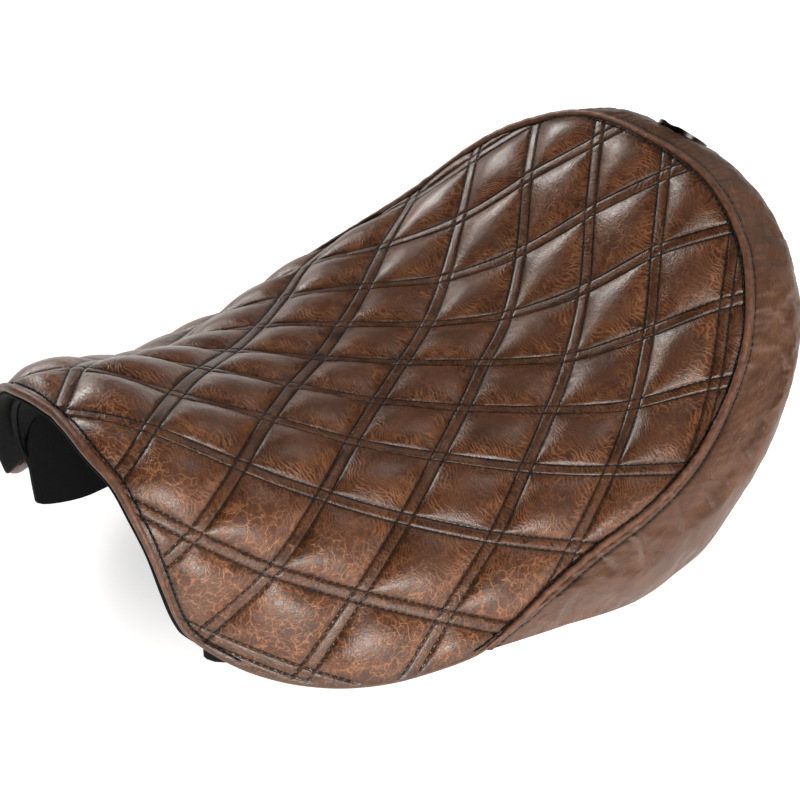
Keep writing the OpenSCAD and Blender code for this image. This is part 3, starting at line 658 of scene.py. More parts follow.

# a low dark cord in the edge seam, painted shade standing in for the seam's shadow line
CORD_WIDTH, CORD_HEIGHT = 0.62, 0.42       # half width and half height
seam_shadow_cords = []
for name, grid in zip(("front_seam_shadow", "welt_seam_shadow"), edge_seams):
    count = len(grid)
    grid = interp_rows(np.linspace(0, count - 1, 3 * count), np.arange(count), grid)
    points, normal, _ = cover(grid, np.full(len(grid), EDGE_SEAM))
    points = points + CORD_HEIGHT * normal
    across = unit(np.cross(unit(np.gradient(points, axis=0)), normal))
    rows = [points + CORD_WIDTH * math.cos(a) * across + CORD_HEIGHT * math.sin(a) * normal
            for a in np.radians(np.arange(0, 360, 45))]
    seam_shadow_cords.append(mirrored_strip(name, rows, "trim_rubber", closed=True))

# ---------------------------------------------------------------- the side band
# A station q along the band is the y of the straight side, and behind ROUND_START it is
# ROUND_START plus the angle round the tail in degrees.
ROUND_START = -172.0
HIP = -314.0
ROUNDNESS = 2.42         # exponent of the tail's superellipse
WELT_AXES = (155, 139)   # half width and depth of the welt line round the tail
WIDEST_SHARE = 0.6       # where the widest line lies between the welt (0) and the hem (1)
# heights of the widest line and of the hem: (station, z)
WIDEST_Z = [(-314, -52.5), (-262, -54), (-202, -56), (-168, -50), (-146, -16), (-127, 8),
            (-82, 30)]
HEM_Z = [(-314, -53), (-262, -70), (-210, -84), (-168, -84), (-158, -67), (-144, -51),
         (-124, -47), (-102, -20), (-82, 5)]
TOPSTITCH = 5.6          # distance of the topstitching from the welt

welt_line = edge[WELT_START:]
tail_angle = np.arctan2(
    np.maximum((welt_line[:, 1] - ROUND_START) / WELT_AXES[1], 0) ** (ROUNDNESS / 2),
    np.maximum(welt_line[:, 0] / WELT_AXES[0], 0) ** (ROUNDNESS / 2))
welt_q = np.where(welt_line[:, 1] <= ROUND_START, welt_line[:, 1],
                  ROUND_START + np.degrees(tail_angle))
welt_q = np.maximum.accumulate(welt_q)
welt_q[-1] = ROUND_START + 90
welt_q += np.linspace(0, 1e-6, len(welt_q))


def plan_line(q, half_width, depth):
    """x and y of a line that is straight at the side and rounded at the tail"""
    angle = np.radians(np.maximum(q - ROUND_START, 0))
    straight = q <= ROUND_START
    power = 2 / ROUNDNESS
    x = np.where(straight, half_width, half_width * np.maximum(np.cos(angle), 0) ** power)
    y = np.where(straight, q, ROUND_START + depth * np.sin(angle) ** power)
    return x, y


def band_point(q, v):
    """point of the band at station q; v runs from the welt (0) to the hem (1)"""
    welt_x, welt_y, welt_z = np.moveaxis(interp_rows(q, welt_q, welt_line), -1, 0)
    width = 156.5 + 12 * np.clip((q - HIP) / 110, 0, 1)
    wide_x, wide_y = plan_line(q, width, 190.0)
    wide_z = station_curve(WIDEST_Z, q)
    hem_x, hem_y = plan_line(q, width - 3.5 * np.clip((q - HIP) / 60, 0, 1), 187.0)
    hem_z = station_curve(HEM_Z, q)
    turn = np.radians(np.clip(v / WIDEST_SHARE, 0, 1) * 90)
    s = np.clip((v - WIDEST_SHARE) / (1 - WIDEST_SHARE), 0, 1)
    upper = v < WIDEST_SHARE
    x = np.where(upper, welt_x + (wide_x - welt_x) * np.sin(turn),
                 wide_x + (hem_x - wide_x) * s * s)
    y = np.where(upper, welt_y + (wide_y - welt_y) * np.sin(turn),
                 wide_y + (hem_y - wide_y) * s * s)
    z = np.where(upper, wide_z + (welt_z - wide_z) * np.cos(turn),
                 wide_z + (hem_z - wide_z) * s)
    return np.stack([x, y, z], -1)


def grid_normals(grid):
    normal = unit(np.cross(np.gradient(grid, axis=1), np.gradient(grid, axis=0)))
    centre = grid.mean((0, 1)) - np.array([0, 0, 30])
    return normal if ((grid - centre) * normal).sum(-1).mean() > 0 else -normal


def from_cup(points):
    """vectors along the cup's axis and square to it"""
    offset = points - CUP_CENTRE
    along = (offset * CUP_AXIS).sum(-1)[..., None] * CUP_AXIS
    return along, offset - along


def cup_radius(points):
    return np.linalg.norm(from_cup(points)[1], axis=-1)


def refine(grid):
    """each cell in two both ways"""
    tall = np.empty((grid.shape[0] * 2 - 1,) + grid.shape[1:])
    tall[::2] = grid
    tall[1::2] = (grid[1:] + grid[:-1]) / 2
    fine = np.empty((tall.shape[0], grid.shape[1] * 2 - 1) + grid.shape[2:])
    fine[:, ::2] = tall
    fine[:, 1::2] = (tall[:, 1:] + tall[:, :-1]) / 2
    return fine


dense_q = np.linspace(float(welt_q[0]) + 0.5, ROUND_START + 90, 3000)
dense_length = arc_length(band_point(dense_q, np.full_like(dense_q, 0.55)))
stations = np.interp(np.linspace(0, dense_length[-1], 190), dense_length, dense_q)
levels = np.r_[np.linspace(0, WIDEST_SHARE, 24), np.linspace(WIDEST_SHARE, 1, 13)[1:]]
left = band_point(*np.meshgrid(stations, levels, indexing='ij'))
plain_band = np.concatenate([left, mirror(left[::-1][1:])], 0)    # left hip, tail, right hip
band_rows, band_columns = plain_band.shape[:2]
plain_normals = grid_normals(plain_band)
# lengths along the band and down it
run, down = np.meshgrid(arc_length(plain_band[:, 20]), arc_length(plain_band[band_rows // 2]),
                        indexing='ij')


def simulate_band():
    normals = plain_normals.reshape(-1, 3)
    ob = make_object("sim_band", plain_band.reshape(-1, 3), grid_faces(band_rows, band_columns))
    middle = band_rows * band_columns // 2
    if (np.array(ob.data.polygons[middle].normal) * normals[middle]).sum() < 0:
        ob.data.flip_normals()
    row, column = np.indices((band_rows, band_columns)).reshape(2, -1)
    pinned = ((column <= 1) | (column == band_columns - 1) | (row == 0) | (row == band_rows - 1)
              | (cup_radius(plain_band).ravel() < 21))
    cloth = run_cloth(ob, np.nonzero(pinned)[0], frames=14, pressure=0.7, shrink=-0.012,
                      bending=0.6, limit=2.6)
    bpy.data.objects.remove(ob)
    return cloth.reshape(band_rows, band_columns, 3)


soft_band = simulate_band()
# long soft folds that die out at the welt and the hem
broad = sine_noise(octaves=6, frequency=0.012, seed=31)
narrow = sine_noise(octaves=6, frequency=0.03, seed=32)
fade = np.sin(np.linspace(0, 1, band_columns) * math.pi)[None] ** 0.8
folds = 0.35 * broad(run + 0.55 * down) * fade + 0.16 * narrow(run - 0.8 * down) * fade
soft_band = soft_band + plain_normals * folds[..., None]

fine_band = refine(soft_band)
fine_normals = grid_normals(fine_band)
fine_rows, fine_columns = fine_band.shape[:2]
fine_faces = grid_faces(fine_rows, fine_columns)
from_welt = np.linalg.norm(fine_band - fine_band[:, :1], axis=-1)
# the topstitching pulls a small groove, with a low ridge between it and the welt
groove = -0.55 * bell(from_welt - TOPSTITCH, 0.9) + 0.3 * bell(from_welt - 3.6, 1.3)
fine_band = fine_band + fine_normals * groove[..., None]


def build_band():
    """the skin of the band, with an opening for the cup"""
    radius = cup_radius(fine_band).ravel()
    kept = radius > CUP_HOLE
    points = fine_band.reshape(-1, 3).copy()
    faces = np.array(fine_faces)
    faces = faces[kept[faces].any(1)]
    inner = np.unique(faces[~kept[faces]])
    along, outward = from_cup(points[inner])
    points[inner] = CUP_CENTRE + along + unit(outward) * CUP_HOLE
    fine_down = refine(down).ravel()
    ob = make_object("band_skin", points, faces,
                     uv=np.stack([refine(run).ravel(), fine_down], 1) * MM)
    # the groove mask is painted shade along the topstitching; the rim mask, painted shade round
    # the cup opening, is not read by the plain leather
    paint(ob, near=np.exp(-np.abs(from_welt.ravel() - 4.5) / 4.0),
          groove=bell(from_welt.ravel() - TOPSTITCH, 0.8),
          rim=np.exp(-np.abs(radius - CUP_HOLE) / 2.5), hemv=fine_down / fine_down.max())
    clean(ob)
    face = ob.data.polygons[5000]
    if np.dot(face.normal, np.array(face.center) / MM - np.array([0, -150, -20])) < 0:
        ob.data.flip_normals()                     # faces look outwards
    fit(ob, "leather_plain", "side_band")
    return ob


band = build_band()


def build_cup_edge():
    """the leather turned in round the cup"""
    above = 40               # start of the rays above the cup, mm
    tree = BVHTree.FromPolygons([tuple(v * MM) for v in fine_band.reshape(-1, 3)], fine_faces)
    side = np.array([1.0, 0, 0])
    rise = np.cross(CUP_AXIS, side)
    ring = []
    for turn in np.linspace(0, 2 * math.pi, 73)[:-1]:
        level = CUP_CENTRE + CUP_HOLE * (math.cos(turn) * side + math.sin(turn) * rise)
        start = level + above * CUP_AXIS
        hit = tree.ray_cast(Vector(start * MM), Vector(-CUP_AXIS), 0.2)[0]
        ring.append(np.array(hit) / MM if hit is not None else level)
    ring = np.array(ring)
    outward = unit(from_cup(ring)[1])
    # steps of the turned edge: (outwards, up along the cup's axis)
    steps = ((0.6, 0), (0.15, 0.25), (-0.35, -0.1), (-0.5, -1.2), (-0.4, -4.0))
    rows = np.stack([ring + a * outward + b * CUP_AXIS for a, b in steps])
    ob = make_object("cup_edge", rows.reshape(-1, 3), grid_faces(5, 72, closed=True))
    fit(ob, "leather_edge")
    return ob


cup_edge = build_cup_edge()

# ---------------------------------------------------------------- the band's turned-under hem
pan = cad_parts["base_pan"].data
pan_tree = BVHTree.FromPolygons([v.co.copy() for v in pan.vertices],
                                [list(p.vertices) for p in pan.polygons])


def running_mean(values):
    """mean over nine neighbours"""
    return np.convolve(np.pad(values, 4, mode='edge'), np.ones(9) / 9.0, 'valid')


def pan_wall(hem, height):
    """points just inside the pan's wall, level with the hem plus a height; nan if missed"""
    row = []
    for x, y, z in hem:
        centre_y = min(y, ROUND_START)
        start = Vector((0, centre_y * MM, (z + 3 + height) * MM))
        ray = Vector((x * MM, (y - centre_y) * MM, 0))
        ray.normalize()
        hit = pan_tree.ray_cast(start, ray, 0.4)[0]
        row.append(tuple((hit - ray * 0.0012) / MM) if hit is not None else (np.nan,) * 3)
    return np.array(row)


def pan_underside(hem, out, inset):
    """a row lying against the underside of the pan, set in from the hem"""
    row = hem - inset * out
    height = np.full(len(row), np.nan)
    for j, (x, y, _) in enumerate(row):
        hit = pan_tree.ray_cast(Vector((x * MM, y * MM, -0.3)), Vector((0, 0, 1)), 0.5)[0]
        if hit is not None:
            height[j] = hit.z / MM - 1.1
    level = np.fmin(height, row[:, 2] + 3.0)
    row[:, 2] = np.where(np.isnan(height), hem[:, 2] - 1.4, np.maximum(level, hem[:, 2] - 7.0))
    return row


def build_band_hem():
    middle = band_rows // 2 + 1
    hem = soft_band[:middle, -1]
    out = unit(plain_normals[:middle, -1] * [1, 1, 0])
    up = np.array([0, 0, 1.0])
    # the rolled edge: (down, inwards)
    rows = [hem - drop * up - inset * out for drop, inset in
            ((0, 0), (0.55, 0.1), (1.3, 0.9), (1.6, 2.2), (1.4, 5))]
    # along the sides it laps up the pan's wall
    wall = [pan_wall(hem, height) for height in (1.5, 5, 9, 13)]
    reach = np.linalg.norm(np.stack(wall)[..., :2] - hem[None, :, :2], axis=-1)
    reach = np.where(np.isnan(reach), 1e3, reach).max(0)
    typical = np.median(reach[reach < 1e3])
    good = ~np.isnan(np.stack(wall)).any((0, 2)) & (reach < 1.45 * typical)
    where = np.nonzero(good)[0]
    wall = [interp_rows(np.arange(len(hem)), where, row[where]) for row in wall]
    wall = [np.stack([running_mean(column) for column in row.T], 1) for row in wall]
    between = (rows[-1] + wall[0]) / 2
    between[:, 2] = np.minimum(rows[-1][:, 2], wall[0][:, 2] - 3.2)
    low = wall[0].copy()
    low[:, 2] -= 3.0
    # where the wall is out of reach it lies flat against the underside instead
    flat = [pan_underside(hem, out, inset) for inset in (8, 11, 14, 17, 20, 22)]
    share = running_mean((~good).astype(float))[:, None]
    rows += [a * (1 - share) + b * share for a, b in zip([between, low] + wall, flat)]
    return mirrored_strip("band_hem", rows, "leather_plain")


band_hem = build_band_hem()


def sew_band():
    """topstitching along the welt"""
    q = np.interp(np.arange(2, dense_length[-1] - 1.5, 4.2), dense_length, dense_q)
    place = np.interp(q, stations, np.arange(len(stations))) * 2
    row = np.clip(np.floor(place).astype(int), 0, fine_rows // 2 - 1)
    column = np.abs(from_welt[row] - TOPSTITCH).argmin(1)
    part = (place - row)[:, None]
    here, ahead = fine_band[row, column], fine_band[row + 1, column]
    normal = fine_normals[row, column]
    centres = here * (1 - part) + ahead * part + 0.12 * normal
    both = [np.vstack([v, mirror(v)]) for v in (centres, ahead - here, normal)]
    return stitch_object("band_stitches", *both, length=3.3, radius=0.4)


band_thread = sew_band()

# ---------------------------------------------------------------- the welt lip
# section: (outwards, up along the normal)
WELT_SECTION = [
    (-1.5, -2.2), (-1.75, -0.6), (-1.8, 0.9), (-1.45, 1.75), (-0.6, 2.15), (0.5, 2.2),
    (1.4, 1.9), (2.05, 1.1), (2.3, 0.0), (2.3, -1.2), (1.9, -2.6)]
count = 330
points, normal, out = edge_frame(WELT_START - 6, len(edge) - 1, count)
taper = np.clip(np.arange(count) / 14.0, 0.15, 1)[:, None]
waver = sine_noise(octaves=6, frequency=0.05, seed=77)(arc_length(points))[:, None]
rows = [points + taper * (a + 0.12 * waver) * out + (taper * b + 0.10 * waver * (b > 0)) * normal
        for a, b in WELT_SECTION]
welt = mirrored_strip("welt_lip", rows, "leather_edge", "welt_cord")

# ---------------------------------------------------------------- the nose piping
count = 260
points, normal, out = edge_frame(0, HEM_START + 10, count)
radius = (2.15 * (1 - np.linspace(0, 1, count) ** 2.2) + 0.25)[:, None]    # thins to its ends
points = points + out * (0.7 * radius) - normal * (0.25 * radius)
rows = [points + radius * (math.cos(a) * out + math.sin(a) * normal)
        for a in np.radians(np.arange(0, 360, 30))]
piping = mirrored_strip("nose_piping", rows, "leather_edge", "nose_binding", closed=True)

# ---------------------------------------------------------------- the front flange
# black lining that turns round the front edge and runs back: (outwards, down the normal)
FLANGE_SECTION = [
    (0.6, 2.4), (2.5, 2.8), (3.3, 3.4), (3.5, 4.3), (2.6, 5.0), (0.4, 5.4), (-3.0, 5.8),
    (-6.5, 6.6), (-9.5, 8.6)]
count = 220
points, normal, out = edge_frame(0, HEM_START + 16, count)
taper = np.clip((count - 1 - np.arange(count)) / 22.0, 0.1, 1)[:, None]
rows = [points + taper * (a * out - b * normal) for a, b in FLANGE_SECTION]
flange = mirrored_strip("front_flange", rows, "trim_rubber")


# ---------------------------------------------------------------- felt, foam and gel
def soft_copy(node, name, slot, voxel, shrink_mm, passes, grain):
    """a remeshed, softened stand-in for a CAD solid, unevenly shrunk; voxel and grain in m"""
    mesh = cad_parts[node].data.copy()
    mesh.name = name
    ob = bpy.data.objects.new(name, mesh)
    bpy.context.scene.collection.objects.link(ob)
    bm = bmesh.new()
    bm.from_mesh(mesh)
    bmesh.ops.remove_doubles(bm, verts=bm.verts, dist=1e-5)
    bm.to_mesh(mesh)
    bm.free()
    remesh = ob.modifiers.new("r", 'REMESH')
    remesh.mode = 'VOXEL'
    remesh.voxel_size = voxel
    remesh.use_smooth_shade = True
    smooth = ob.modifiers.new("s", 'SMOOTH')
    smooth.factor = 0.5
    smooth.iterations = passes
    depsgraph = bpy.context.evaluated_depsgraph_get()
    softened = bpy.data.meshes.new_from_object(ob.evaluated_get(depsgraph))
    ob.modifiers.clear()
    ob.data = softened
    softened.materials.clear()
    points = np.empty(len(softened.vertices) * 3)
    normals = np.empty(len(points))
    softened.vertices.foreach_get("co", points)
    softened.vertices.foreach_get("normal", normals)
    points, normals = points.reshape(-1, 3), normals.reshape(-1, 3)
    depth = np.array([solid_noise.noise(Vector(p / grain)) for p in points]) * 0.5 + 0.5
    points = points - normals * (depth * shrink_mm * MM)[:, None]
    softened.vertices.foreach_set("co", points.ravel())
    softened.update()
    fit(ob, slot, node)
    return ob


felt = soft_copy("underside_felt", "felt_pad", "felt",
                 voxel=0.0009, shrink_mm=0.25, passes=2, grain=0.004)
foam = soft_copy("foam_core", "foam_bun", "foam",
                 voxel=0.004, shrink_mm=0.35, passes=3, grain=0.01)
gel = soft_copy("gel_insert", "gel_pad", "gel",
                voxel=0.003, shrink_mm=0.1, passes=3, grain=0.02)

# ---------------------------------------------------------------- material graphs
MATERIALS = {}


def linear(code):
    """linear RGBA from a hex colour"""
    parts = [int(code[i:i + 2], 16) / 255 for i in (1, 3, 5)]
    return tuple([v / 12.92 if v <= 0.04045 else ((v + 0.055) / 1.055) ** 2.4
                  for v in parts] + [1.0])


class Graph:
    """short-hand for building a material; texture scales are per mm"""
    def __init__(self, name):
        self.material = bpy.data.materials.new(name)
        self.material.use_nodes = True
        self.tree = self.material.node_tree
        self.tree.nodes.clear()
        output = self.tree.nodes.new('ShaderNodeOutputMaterial')
        self.shader = self.tree.nodes.new('ShaderNodeBsdfPrincipled')
        self.tree.links.new(self.shader.outputs[0], output.inputs[0])
        MATERIALS[name] = self.material

    def put(self, socket, value):
        if isinstance(value, bpy.types.NodeSocket):
            self.tree.links.new(value, socket)
        elif value is not None:
            socket.default_value = linear(value) if isinstance(value, str) else value

    def node(self, kind, inputs, output=0, **settings):
        node = self.tree.nodes.new('ShaderNode' + kind)
        for name, value in settings.items():
            setattr(node, name, value)
        for key, value in inputs.items():
            self.put(node.inputs[key], value)
        return node.outputs[output]

    def math(self, operation, a, b=None, clamp=False):
        return self.node('Math', {0: a, 1: b}, operation=operation, use_clamp=clamp)

    def add(self, a, b):
        return self.math('ADD', a, b)

    def sub(self, a, b):
        return self.math('SUBTRACT', a, b)

    def mul(self, a, b):
        return self.math('MULTIPLY', a, b)

    def max(self, a, b, clamp=False):
        return self.math('MAXIMUM', a, b, clamp)

    def vector(self, operation, a, b):
        return self.node('VectorMath', {0: a, 1: b}, operation=operation)

    def scale(self, vector, factor):
        return self.node('VectorMath', {0: vector, 'Scale': factor}, operation='SCALE')

    def noise(self, at, scale, detail=3, rough=0.55, distortion=0.0, colour=False):
        inputs = {'Vector': at, 'Scale': scale, 'Detail': detail, 'Roughness': rough,
                  'Distortion': distortion}
        return self.node('TexNoise', inputs, 1 if colour else 0)

    def cells(self, at, scale, feature='DISTANCE_TO_EDGE'):
        return self.node('TexVoronoi', {'Vector': at, 'Scale': scale}, 'Distance',
                         feature=feature)

    def ramp(self, factor, stops):
        node = self.tree.nodes.new('ShaderNodeValToRGB')
        elements = node.color_ramp.elements
        while len(elements) < len(stops):
            elements.new(0.5)
        for element, (position, colour) in zip(elements, stops):
            element.position = position
            element.color = linear(colour)
        self.put(node.inputs[0], factor)
        return node.outputs[0]

    def mix(self, factor, a, b):
        # 6, 7 and output 2 are the colour sockets
        return self.node('Mix', {0: factor, 6: a, 7: b}, 2, data_type='RGBA',
                         clamp_factor=True)

    def remap(self, value, span, to=(0.0, 1.0)):
        return self.node('MapRange', dict(enumerate((value, *span, *to))), clamp=True)

    def attribute(self, name):
        return self.node('Attribute', {}, 'Fac', attribute_name=name)

    def uv(self, name, factor=1000.0):
        return self.scale(self.node('UVMap', {}, uv_map=name), factor)

    def place(self, factor=1000.0):
        return self.scale(self.node('TexCoord', {}, 'Object'), factor)

    def bump(self, height, strength, depth):
        return self.node('Bump', {'Strength': strength, 'Distance': depth, 'Height': height})

    def finish(self, **inputs):
        for name, value in inputs.items():
            self.put(self.shader.inputs[name.replace('_', ' ')], value)


# ---------------------------------------------------------------- leather
# painted shade, darkening the stitch grooves, the topstitching and the edge seam
PAINTED_SHADE = '#120a07'         # grooves and seams


def leather_strands(g, flat, x, y, crest, tilt, pitch, width, offset, cut, wander):
    """fine strands that bend round the pads, each broken in its own places.
    tilt in radians, pitch in mm, width as a share of it, wander as (noise scale, mm)."""
    across = g.add(g.mul(y, math.cos(tilt)), g.mul(x, math.sin(tilt)))
    across = g.add(across, g.mul(g.noise(flat, scale=wander[0], detail=1), wander[1]))
    if crest is not None:
        across = g.add(across, g.mul(crest, 3.5))
    strand = g.math('DIVIDE', across, pitch)
    number = g.math('FLOOR', strand)
    distance = g.math('ABSOLUTE', g.sub(g.math('FRACT', strand), 0.5))
    # a slow noise along the strand, at a different place for each number
    at = g.node('CombineXYZ', {
        0: g.mul(x, 0.085), 1: g.add(g.mul(number, 7.31), offset), 2: g.mul(y, 0.03)})
    unbroken = g.remap(g.noise(at, scale=1.0, detail=2, rough=0.5), span=(cut, cut + 0.10))
    reach = g.mul(g.remap(g.noise(flat, scale=0.22, detail=1),
                          span=(0.35, 0.65), to=(0.75, 1.35)), width)
    return g.mul(g.remap(distance, span=(g.mul(reach, 0.35), reach), to=(1.0, 0.0)), unbroken)


def all_strands(g, flat, swayed, bent, crest):
    """three sets of strands, thinned in patches"""
    x = g.node('SeparateXYZ', {0: bent}, 0)
    y = g.node('SeparateXYZ', {0: bent}, 1)
    main = leather_strands(g, flat, x, y, crest, tilt=0.16, pitch=1.9, width=0.19,
                           offset=0.0, cut=0.36, wander=(0.05, 14.0))
    second = leather_strands(g, flat, x, y, crest, tilt=-0.22, pitch=2.6, width=0.14,
                             offset=7.4, cut=0.40, wander=(0.055, 18.0))
    steep = leather_strands(g, flat, x, y, crest, tilt=0.75, pitch=3.7, width=0.10,
                            offset=18.5, cut=0.47, wander=(0.055, 21.0))
    hair = g.max(g.max(main, g.mul(second, 0.9)), g.mul(steep, 0.75))
    return g.mul(hair, g.remap(g.noise(swayed, scale=0.045, detail=2, rough=0.6),
                               span=(0.34, 0.58), to=(0.35, 1.0)))


def vein_nets(g, flat, bent):
    """a coarse and a fine net of veins, and the distance to the coarse one"""
    net = g.cells(g.vector('MULTIPLY', bent, (0.105, 0.165, 1)), scale=1.0)
    width = g.remap(g.noise(flat, scale=0.12, detail=2), span=(0.36, 0.66), to=(0.03, 0.085))
    coarse = g.remap(net, span=(g.mul(width, 0.35), width), to=(1.0, 0.0))
    small_net = g.cells(g.vector('MULTIPLY', bent, (0.17, 0.26, 1)), scale=1.0)
    fine = g.mul(g.remap(small_net, span=(0.0, g.mul(width, 0.9)), to=(1.0, 0.0)),
                 g.remap(g.noise(flat, scale=0.06, detail=2),
                         span=(0.45, 0.58), to=(0.15, 0.8)))
    return g.max(g.mul(coarse, 0.85), g.mul(fine, 0.7)), net


def stitch_creases(g, flat):
    """fine creases that run out of the stitching"""
    lattice = g.uv("ik", 1.0)
    creases = []
    for stretch in ((3.0, 21.0, 1), (21.0, 3.0, 1)):
        value = g.noise(g.vector('MULTIPLY', lattice, stretch), scale=1.0, detail=1, rough=0.5)
        creases.append(g.remap(g.math('ABSOLUTE', g.sub(value, 0.5)),
                               span=(0.01, 0.055), to=(1.0, 0.0)))
    return g.mul(g.mul(g.max(*creases), g.attribute("near")),
                 g.remap(g.noise(flat, scale=0.1, detail=2), span=(0.42, 0.60)))


def leather(name, tones, vein_tones, quilted, roughness, strength):
    """tones: three ground colours and the blotches, the last also painted as shade in the
    hollows;
    vein_tones: two vein colours and the halo; strength: how strongly the veins are drawn"""
    g = Graph(name)
    flat = g.uv("lat")
    # two shifted copies of the coordinates: a slow sway, then a finer bend
    centre = (0.5, 0.5, 0.5)
    sway = g.vector('SUBTRACT', g.noise(flat, scale=0.030, detail=1, colour=True), centre)
    swayed = g.vector('ADD', flat, g.scale(sway, 14.0))
    jitter = g.vector('SUBTRACT', g.noise(flat, scale=0.17, detail=2, colour=True), centre)
    bent = g.vector('ADD', swayed, g.scale(jitter, 3.6))

    ground = g.ramp(g.noise(swayed, scale=0.045, detail=5, rough=0.62),
                    list(zip((0.30, 0.5, 0.68), tones[:3])))
    speckle = g.noise(flat, scale=0.9, detail=4, rough=0.65)
    ground = g.mix(g.remap(speckle, span=(0.3, 0.7), to=(0.0, 0.45)), ground, tones[0])
    blotches = g.remap(g.noise(bent, scale=0.07, detail=4, rough=0.6), span=(0.50, 0.66))
    ground = g.mix(g.mul(blotches, 0.6), ground, tones[3])

    crest = g.attribute("crest") if quilted else None
    hair = all_strands(g, flat, swayed, bent, crest)
    net_veins, net = vein_nets(g, flat, bent)
    cover_share = g.remap(g.noise(bent, scale=0.11, detail=3), span=(0.28, 0.46))
    patch = g.remap(g.noise(flat, scale=0.03, detail=2), span=(0.46, 0.62))
    if quilted:
        # veins gather on the skirts, strands keep to the hollows
        skirt = g.attribute("skirt")
        net_share = g.max(g.mul(patch, 0.35), g.remap(skirt, span=(0.05, 0.70)))
        hair = g.mul(hair, g.mul(g.remap(crest, span=(0.55, 1.0), to=(1.0, 0.25)),
                                 g.remap(skirt, span=(0.2, 1.0), to=(1.0, 0.55))))
    else:
        net_share = g.mul(patch, 0.10)
    veins = g.mul(net_veins, g.mul(net_share, cover_share))
    veins = g.max(veins, g.mul(hair, 0.60), clamp=True)
    if quilted:
        veins = g.max(veins, g.mul(stitch_creases(g, flat), 0.55))
    halo = g.mul(g.mul(g.remap(net, span=(0.0, 0.30), to=(1.0, 0.0)), cover_share),
                 g.mul(net_share, 0.8))
    vein_colour = g.mix(g.remap(g.noise(flat, scale=0.2, detail=2), span=(0.35, 0.65)),
                        vein_tones[0], vein_tones[1])
    colour = g.mix(g.mul(halo, 0.55 * strength), ground, vein_tones[2])
    colour = g.mix(g.mul(veins, 0.90 * strength), colour, vein_colour)
    if quilted:
        # painted sheen on the crowns, painted shade in the hollows, and painted shade along the
        # edge seam
        colour = g.mix(g.mul(g.remap(crest, span=(0.45, 1.0)), 0.20), colour, '#7c5b4b')
        colour = g.mix(g.mul(g.remap(crest, span=(0.0, 0.40), to=(1.0, 0.0)), 0.40),
                       colour, tones[3])
        colour = g.mix(g.mul(g.attribute("rim"), 0.92), colour, PAINTED_SHADE)
    # painted shade in the stitch grooves and along the topstitching
    colour = g.mix(g.mul(g.attribute("groove"), 0.92), colour, PAINTED_SHADE)

    # relief: pebble grain, soft wrinkles, sunken veins
    pebbles = g.cells(g.vector('ADD', flat, g.scale(jitter, 1.5)), scale=0.75, feature='F1')
    pores = g.noise(flat, scale=2.4, detail=3, rough=0.6)
    height = g.add(g.mul(pebbles, -0.45), g.mul(pores, 0.35))
    height = g.add(height, g.mul(g.noise(bent, scale=0.25, detail=4, rough=0.6), 1.1))
    height = g.sub(height, g.mul(veins, 0.8))
    worn = g.remap(g.noise(swayed, scale=0.08, detail=4), span=(0.3, 0.7),
                   to=(roughness - 0.06, roughness + 0.08))
    g.finish(Base_Color=colour, Roughness=g.add(worn, g.mul(veins, 0.14)),
             Normal=g.bump(height, strength=0.55, depth=0.00032), Specular_IOR_Level=0.55,
             Coat_Weight=0.06, Coat_Roughness=0.30, Sheen_Weight=0.0, Sheen_Roughness=0.5)


def edge_leather():
    g = Graph('leather_edge')
    flat = g.uv("lat")
    broad = g.noise(flat, scale=0.25, detail=4, rough=0.65)
    fine = g.noise(flat, scale=1.6, detail=3, rough=0.6)
    colour = g.ramp(broad, [(0.32, '#4d3123'), (0.5, '#6b4532'), (0.66, '#86593f')])
    colour = g.mix(g.remap(fine, span=(0.35, 0.7), to=(0.0, 0.45)), colour, '#4a2c1d')
    g.finish(Base_Color=colour, Roughness=g.remap(fine, span=(0.3, 0.7), to=(0.42, 0.6)),
             Normal=g.bump(g.add(fine, g.mul(broad, 0.8)), strength=0.5, depth=0.0004),
             Coat_Weight=0.05)


leather('leather_quilted', ('#3b1f10', '#4f2b17', '#613a20', '#241208'),
        ('#9a603c', '#b27a50', '#70442b'), quilted=True, roughness=0.34, strength=1.0)
leather('leather_plain', ('#4c2f1f', '#5a3a28', '#674530', '#412818'),
        ('#7d553b', '#8d6345', '#6b4732'), quilted=False, roughness=0.44, strength=0.8)
edge_leather()


# ---------------------------------------------------------------- simple materials
def solid(name, dark, light, scale, finer, roughness, bump, **inputs):
    """two close tones of noise; finer is the ratio between the two noise scales"""
    g = Graph(name)
    at = g.place()
    broad = g.noise(at, scale=scale, detail=4, rough=0.6)
    fine = g.noise(at, scale=scale * finer, detail=3, rough=0.6)
    colour = g.ramp(broad, [(0.3, dark), (0.7, light)])
    colour = g.mix(g.remap(fine, span=(0.4, 0.75), to=(0.0, 0.3)), colour, dark)
    g.finish(Base_Color=colour, Roughness=g.remap(fine, span=(0.3, 0.7), to=roughness),
             Normal=g.bump(g.add(fine, g.mul(broad, 0.5)), *bump), **inputs)


